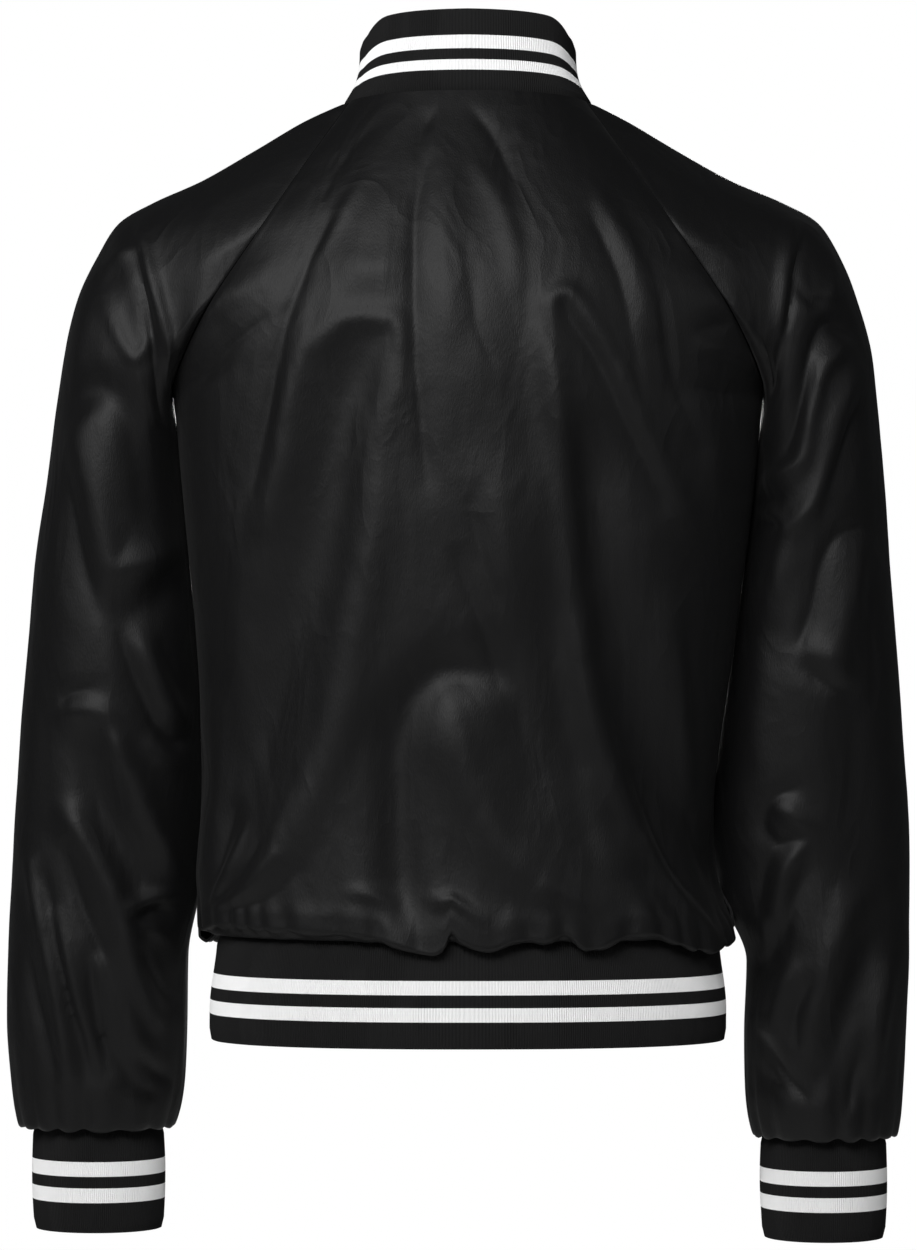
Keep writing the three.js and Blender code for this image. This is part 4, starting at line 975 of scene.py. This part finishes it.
def make_rib(name, line_at, length, closed, height, rows):
    """A rib trim as a closed wall. line_at(share, down) gives its outer points, for a share round
    it and a depth down it from 0 to 1. With e the distance to the nearer edge and h half the wall,
    both faces draw in by h (1 - sqrt(1 - (1 - e / h)^2)) beside an edge."""
    wales = int(length / WALE)
    cols = wales * WALE_POINTS + (0 if closed else 1)
    share = np.arange(cols) / (wales * WALE_POINTS)
    share, down = np.meshgrid(share, np.linspace(0, 1, rows))
    base = line_at(share, down)
    from_middle = (base - base.reshape(-1, 3).mean(0)) * [1, 1, 0]
    normals = turned(grid_normals(base, closed), from_middle)
    near_edge = 1 - np.clip(np.minimum(down, 1 - down) * height / HALF_WALL, 0, 1)
    rounded = HALF_WALL * (1 - np.sqrt(np.clip(1 - near_edge**2, 0, 1)))
    wave = WALE_HEIGHT * np.cos(2 * np.pi * wales * share)
    wave *= 1 + 0.3 * noise(61, share * length, down * height, 9, 20)
    tug = 0.35 * noise(67, share * length, down * height, 26, 60)
    outer = base + normals * (wave + tug - rounded)[..., None]
    inner = base - normals * (RIB_WALL - rounded)[..., None]
    return make_wall(name, outer, inner, closed, dict(down=down)), flat_area(outer, closed)


# %% Waistband
def band_at(share, down):
    """The waistband's outer face, from the right front's end round to the left front's."""
    edge = {key: lerp(BAND_TOP[key], BAND_BOTTOM[key], smooth(down * 1.4)) for key in BAND_TOP}
    turn = 2 * np.pi * (share - 0.5)
    angle = turn * (1 + FRONT_LAP / edge["half"] / np.pi * 0.9) + np.pi / 2
    depth = np.where(np.sin(angle) > 0, edge["back"], edge["front"])
    dip = (RIB_WALL + 0.5) * (1 - smooth((share - 0.035) / 0.035))
    ends = 1.5 * smooth((0.08 - down) / 0.08)
    return np.stack([
        -(edge["half"] - dip - ends) * power(np.cos(angle), ROUND),
        (depth - dip - ends) * power(np.sin(angle), ROUND),
        lerp(WAISTBAND_TOP - SEAM_GAP, WAISTBAND_BOTTOM, down),
    ], -1)


waistband, band_area = make_rib(
    "waistband_rib", band_at, length=1000, closed=False, height=76, rows=11)
print("waistband:", round(band_area, 3), "m2 of rib")


# %% Cuffs
def cuff_at(side):
    """The outer face of one cuff, as a function of the share round it and the depth down it."""
    size = CUFF_LEFT if side > 0 else CUFF_RIGHT
    drop = 0 if side > 0 else RIGHT_SLEEVE_DROP

    def at(share, down):
        out = side * lerp(size["outTop"], size["outBottom"], down)
        into = side * lerp(size["inTop"], size["inBottom"], down)
        swell = 1.6 * np.sin(np.pi * down)
        angle = 2 * np.pi * share
        return np.stack([
            (out + into) / 2 + np.cos(angle) * ((into - out) / 2 - side * swell),
            CUFF_MID_Y + (CUFF_DEPTH + swell) * np.sin(angle),
            lerp(CUFF_TOP - SEAM_GAP, CUFF_BOTTOM, down) - drop,
        ], -1)
    return at


cuff_left, cuff_area = make_rib(
    "cuff_left_rib", cuff_at(1), length=296, closed=True, height=76, rows=11)
cuff_right, _ = make_rib(
    "cuff_right_rib", cuff_at(-1), length=288, closed=True, height=76, rows=11)
print("each cuff:", round(cuff_area, 3), "m2 of rib")


# %% Collar
def collar_at(share, down):
    """The collar's outer face. It stands on the neck seam, leans in by lean, and gets lower towards
    its ends; down is 0 at its free edge."""
    along = lerp(-1, 1, share)
    base = neck_point(along * 0.993)
    height = read(COLLAR, "height", np.abs(along), "along")
    lean = read(COLLAR, "lean", np.abs(along), "along")
    up = 1 - down
    inward = unit(np.stack([-base[..., 0], -(base[..., 1] + 15), 0 * up], -1))
    flare = 1 - down**3
    tuck = smooth((down - 0.9) / 0.08)
    base[..., 2] += height * up * np.sqrt(1 - lean**2) + 0.6 - 2.6 * tuck
    return base + inward * (height * lean * flare + 2.2 * tuck)[..., None]


collar, collar_area = make_rib(
    "collar_rib", collar_at, length=500, closed=False, height=48, rows=13)
print("collar:", round(collar_area, 3), "m2 of rib")

# %% [markdown]
# ## The snaps
# Five capped snaps close the front and a sixth closes the waistband. A cap is a shallow dome with a
# rolled rim, turned from one profile round its axis, so it stays round at any distance.

# %% Snaps
CAP_PROFILE = np.array([
    (0.0, 2.35), (2.6, 2.3), (4.6, 2.1), (5.6, 1.8), (6.05, 1.55), (6.3, 1.62), (6.8, 1.7),
    (7.2, 1.5), (7.45, 1.05), (7.5, 0.6), (7.2, 0.15), (6.6, 0.0), (3.0, 0.0), (0.0, 0.0),
])
CAP_SIDES = 48
POLE = 0.3


def cap(name, node):
    """A cap in the place of its frame node, found from that node's own points: its flat back's
    middle and the way its axis points. Each pole is a tiny disc, closed by strips across it."""
    co = np.array([vertex.co[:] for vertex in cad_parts[node].data.vertices]) / MM
    centre = co.mean(0)
    _, _, axes = np.linalg.svd(co - centre, full_matrices=False)
    axis = axes[2] * np.sign(-axes[2][1])
    seat = centre + axis * ((co - centre) @ axis).min()
    first = unit(np.cross(axis, [0, 0, 1.0]))
    second = np.cross(axis, first)
    angle = np.linspace(0, 2 * np.pi, CAP_SIDES, endpoint=False)
    radius, height = np.maximum(CAP_PROFILE[:, :1], POLE), CAP_PROFILE[:, 1:]
    ring = np.cos(angle)[:, None] * first + np.sin(angle)[:, None] * second
    points = seat + radius[..., None] * ring + height[..., None] * axis
    sides = grid_faces(len(points), CAP_SIDES, True, 0)
    i = np.arange(CAP_SIDES // 2 - 1)
    pole = np.stack([i, i + 1, CAP_SIDES - 2 - i, CAP_SIDES - 1 - i], -1)
    last = pole + (len(points) - 1) * CAP_SIDES
    quads = np.concatenate([sides, pole[:, ::-1], last])
    flat = points.reshape(-1, 3)
    a, b, _, d = sides[CAP_SIDES + CAP_SIDES // 4]
    if np.cross(flat[b] - flat[a], flat[d] - flat[a]) @ axis < 0:
        quads = quads[:, ::-1]
    return make_mesh(name, flat, quads, {})


caps = [cap(f"snap_cap_{i}", f"snap_{i}") for i in range(1, 7)]
print("snap caps:", len(caps))

# %% [markdown]
# ## Materials
# Satin is woven so that long floats of thread lie side by side. It reads as near-black cloth with a
# broad, soft highlight wherever it faces the light, and goes dark where it turns away, so the colour
# is almost black and the gloss does the work. Rib knit is matt, with two knitted-in white stripes.

# %% Weave group
def set_inputs(node, values):
    """The node, with its input values set by name."""
    for name, value in values.items():
        node.inputs[name].default_value = value
    return node


def math(tree, operation, *values):
    """What a Math node puts out for sockets and plain numbers."""
    node = tree.nodes.new("ShaderNodeMath")
    node.operation = operation
    for place, value in zip(node.inputs, values):
        if isinstance(value, float):
            place.default_value = value
        else:
            tree.links.new(value, place)
    return node.outputs[0]


def weave_group():
    """Fine cloth relief as a height: threads that run down the cloth, a soft crush across it, and
    crinkles, which are sharp where a slanted noise passes its middle: -|noise - 0.5| * rise. Its
    inputs are how fine each of them is, the threads' share of the mix and the crinkles' rise."""
    group = bpy.data.node_groups.new("cloth weave", "ShaderNodeTree")
    inputs = {"Threads": 1600.0, "Crush": 60.0, "Thread share": 0.3, "Crinkle": 24.0, "Rise": 0.0}
    for name, value in inputs.items():
        made = group.interface.new_socket(name, in_out="INPUT", socket_type="NodeSocketFloat")
        made.default_value = value
    group.interface.new_socket("Height", in_out="OUTPUT", socket_type="NodeSocketFloat")
    nodes, links = group.nodes, group.links
    inside = nodes.new("NodeGroupInput").outputs
    outside = nodes.new("NodeGroupOutput").inputs
    place = nodes.new("ShaderNodeTexCoord").outputs["Object"]

    def mapped(values):
        node = set_inputs(nodes.new("ShaderNodeMapping"), values)
        links.new(place, node.inputs["Vector"])
        return node.outputs["Vector"]

    def clouds(vector, scale, values):
        node = set_inputs(nodes.new("ShaderNodeTexNoise"), values)
        links.new(vector, node.inputs["Vector"])
        links.new(scale, node.inputs["Scale"])
        return node.outputs["Fac"]

    down_cloth = mapped({"Scale": (1.0, 1.0, 0.22)})
    slanted = mapped({"Rotation": (0.0, 0.5, 0.0), "Scale": (1.0, 1.0, 0.45)})
    threads = clouds(down_cloth, inside["Threads"], {"Detail": 1.0})
    crush = clouds(place, inside["Crush"], {"Detail": 5.0, "Roughness": 0.55})
    crinkle = clouds(slanted, inside["Crinkle"], {"Detail": 2.0, "Distortion": 0.6})
    mix = nodes.new("ShaderNodeMix")
    links.new(inside["Thread share"], mix.inputs["Factor"])
    links.new(crush, mix.inputs["A"])
    links.new(threads, mix.inputs["B"])
    off_middle = math(group, "ABSOLUTE", math(group, "SUBTRACT", crinkle, 0.5))
    folded = math(group, "MULTIPLY", off_middle, inside["Rise"])
    links.new(math(group, "SUBTRACT", mix.outputs["Result"], folded), outside["Height"])
    return group


WEAVE = weave_group()
print("weave group sockets:", [item.name for item in WEAVE.interface.items_tree])


# %% Satin
def new_material(name, finish):
    """A material, its node tree and its Principled shader, with that shader's values."""
    material = bpy.data.materials.new(name)
    material.use_nodes = True
    tree = material.node_tree
    return material, tree, set_inputs(tree.nodes["Principled BSDF"], finish)


def add_weave(tree, shader, strength, distance, values):
    """Places the weave group behind a bump, with its own values."""
    weave = tree.nodes.new("ShaderNodeGroup")
    weave.node_tree = WEAVE
    set_inputs(weave, values)
    bump = tree.nodes.new("ShaderNodeBump")
    set_inputs(bump, {"Strength": strength, "Distance": distance})
    tree.links.new(weave.outputs["Height"], bump.inputs["Height"])
    tree.links.new(bump.outputs["Normal"], shader.inputs["Normal"])


def satin_material():
    """Near-black satin: a dark base under a broad, soft gloss."""
    material, tree, shader = new_material("black satin", {
        "Base Color": (0.0022, 0.0022, 0.0024, 1), "Roughness": 0.54, "Specular IOR Level": 0.25,
        "Sheen Weight": 0.02, "Sheen Roughness": 0.5})
    add_weave(tree, shader, 0.4, 0.0015, {
        "Threads": 1400.0, "Crush": 60.0, "Thread share": 0.3, "Crinkle": 24.0, "Rise": 5.0})
    return material


SATIN = satin_material()
print("satin:", SATIN.name)


# %% Rib knit and snaps
def rib_material(name, stripes):
    """Black rib knit with white stripes at shares of its depth, read from the down attribute: a
    stripe is 1 where down is above its start and below its end."""
    material, tree, shader = new_material(name, {
        "Roughness": 0.85, "Specular IOR Level": 0.25, "Sheen Weight": 0.02})
    down = tree.nodes.new("ShaderNodeAttribute")
    down.attribute_name = "down"
    white = 0.0
    for start, end in stripes:
        above = math(tree, "GREATER_THAN", down.outputs["Fac"], start)
        below = math(tree, "LESS_THAN", down.outputs["Fac"], end)
        white = math(tree, "ADD", white, math(tree, "MULTIPLY", above, below))
    colour = tree.nodes.new("ShaderNodeMix")
    colour.data_type = "RGBA"
    set_inputs(colour, {"A": (0.0042, 0.0042, 0.0044, 1), "B": (0.86, 0.86, 0.86, 1)})
    tree.links.new(white, colour.inputs["Factor"])
    tree.links.new(colour.outputs["Result"], shader.inputs["Base Color"])
    add_weave(tree, shader, 0.25, 0.0006, {"Threads": 1900.0, "Crush": 420.0, "Thread share": 0.6})
    return material


COLLAR_RIB = rib_material("rib knit collar", [(0.324, 0.49), (0.625, 0.754)])
BAND_RIB = rib_material("rib knit waistband", [(0.368, 0.50), (0.618, 0.75)])
CUFF_RIB = rib_material("rib knit cuffs", [(0.32, 0.46), (0.57, 0.71)])
ENAMEL, _, _ = new_material("black enamel", {
    "Base Color": (0.005, 0.005, 0.0055, 1), "Roughness": 0.24, "Coat Weight": 0.6})
print("materials:", len(bpy.data.materials))

# %% [markdown]
# ## Each piece's place in the part
# Every piece stands for its frame node, rides the one body and takes a finish. Each sheet of cloth
# has its size as it was cut, before it was gathered, sewn and worn, printed beside its area.

# %% Place the pieces
def finish_piece(piece, node, material):
    """Puts a piece in its node's place, with its finish."""
    piece.data.materials.append(material)
    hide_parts(node)
    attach(piece, "root")


CLOTH = [
    (back, "back", SATIN, (0.60, 0.68), back_area, ["collar_rib"]),
    (front_left, "front_left", SATIN, (0.33, 0.62), front_area, ["collar_rib"]),
    (front_right, "front_right", SATIN, (0.33, 0.62), front_area, ["collar_rib"]),
    (sleeve_left, "sleeve_left", SATIN, (0.58, 0.84), sleeve_area, ["back_satin", "front_left_satin"]),
    (sleeve_right, "sleeve_right", SATIN, (0.58, 0.84), sleeve_area, ["back_satin", "front_right_satin"]),
    (collar, "collar", COLLAR_RIB, (0.50, 0.058), collar_area, []),
    (waistband, "waistband", BAND_RIB, (1.03, 0.077), band_area, ["back_satin"]),
    (cuff_left, "cuff_left", CUFF_RIB, (0.32, 0.077), cuff_area, ["sleeve_left_satin"]),
    (cuff_right, "cuff_right", CUFF_RIB, (0.32, 0.077), cuff_area, ["sleeve_right_satin"]),
]
for piece, node, material, flat, area, hangs in CLOTH:
    area = min(area, flat[0] * flat[1])
    finish_piece(piece, node, material)
    print(node, "cut", flat, "area", round(area, 4))
for i, piece in enumerate(caps, 1):
    finish_piece(piece, f"snap_{i}", ENAMEL)

# %% [markdown]
# ## Floor, light and camera
# A large soft light near the camera gives satin its broad highlights where it faces the viewer, and
# a second one lights the front for the other views. The floor is low enough to stay plain.

# %% Floor
FLOOR_HALF, FLOOR_Z = 2, -1.45
corners = [(x * FLOOR_HALF, y * FLOOR_HALF, FLOOR_Z) for x, y in ((-1, -1), (1, -1), (1, 1), (-1, 1))]
floor_mesh = bpy.data.meshes.new("floor")
floor_mesh.from_pydata(corners, [], [(0, 1, 2, 3)])
floor = bpy.data.objects.new("floor", floor_mesh)
pale, _, _ = new_material("pale floor", {"Base Color": (0.8, 0.8, 0.79, 1), "Roughness": 0.8})
floor.data.materials.append(pale)
bpy.context.collection.objects.link(floor)
print("floor at", FLOOR_Z)

# %% World
scene = bpy.context.scene
world = bpy.data.worlds.new("studio")
world.use_nodes = True
scene.world = world
nodes, links = world.node_tree.nodes, world.node_tree.links
seen = nodes.new("ShaderNodeLightPath")
dim = set_inputs(nodes["Background"], {"Color": (0.9, 0.95, 1.0, 1), "Strength": 0.03})
white = set_inputs(nodes.new("ShaderNodeBackground"), {"Color": (1, 1, 1, 1)})
mix = nodes.new("ShaderNodeMixShader")
links.new(seen.outputs["Is Camera Ray"], mix.inputs["Fac"])
links.new(dim.outputs["Background"], mix.inputs[1])
links.new(white.outputs["Background"], mix.inputs[2])
links.new(mix.outputs["Shader"], nodes["World Output"].inputs["Surface"])
print("world:", world.name)


# %% Lights
def soft_light(name, place, target, width, height, watts):
    """A soft box at a place, turned to its target."""
    data = bpy.data.lights.new(name, "AREA")
    data.shape = "RECTANGLE"
    data.size, data.size_y = width, height
    data.energy = watts
    light = bpy.data.objects.new(name, data)
    light.location = place
    way = Vector(target) - Vector(place)
    light.rotation_euler = way.to_track_quat("-Z", "Y").to_euler()
    bpy.context.collection.objects.link(light)


soft_light("key", (0.7, 2.15, 0.9), (0, 0, -0.2), 1.7, 0.9, 62)
soft_light("side of key", (2.4, 1.5, 0.4), (0, 0, -0.3), 0.9, 0.9, 11)
soft_light("far side", (-2.1, 1.6, 0.6), (0, 0, -0.3), 0.9, 0.9, 6)
soft_light("front key", (-0.2, -2.6, 0.1), (0, 0, -0.4), 0.6, 0.9, 44)
print("lights:", len(bpy.data.lights))

# %% Camera
lens = bpy.data.cameras.new("camera")
lens.sensor_fit = "VERTICAL"
lens.sensor_height = 36
lens.lens = 160
camera = bpy.data.objects.new("camera", lens)
camera.location = (0.0068, 4.0, -0.373)
camera.rotation_euler = (np.pi / 2, 0, np.pi)
bpy.context.collection.objects.link(camera)
scene.camera = camera
scene.view_settings.view_transform = "Standard"
print("camera at", tuple(round(c, 3) for c in camera.location))
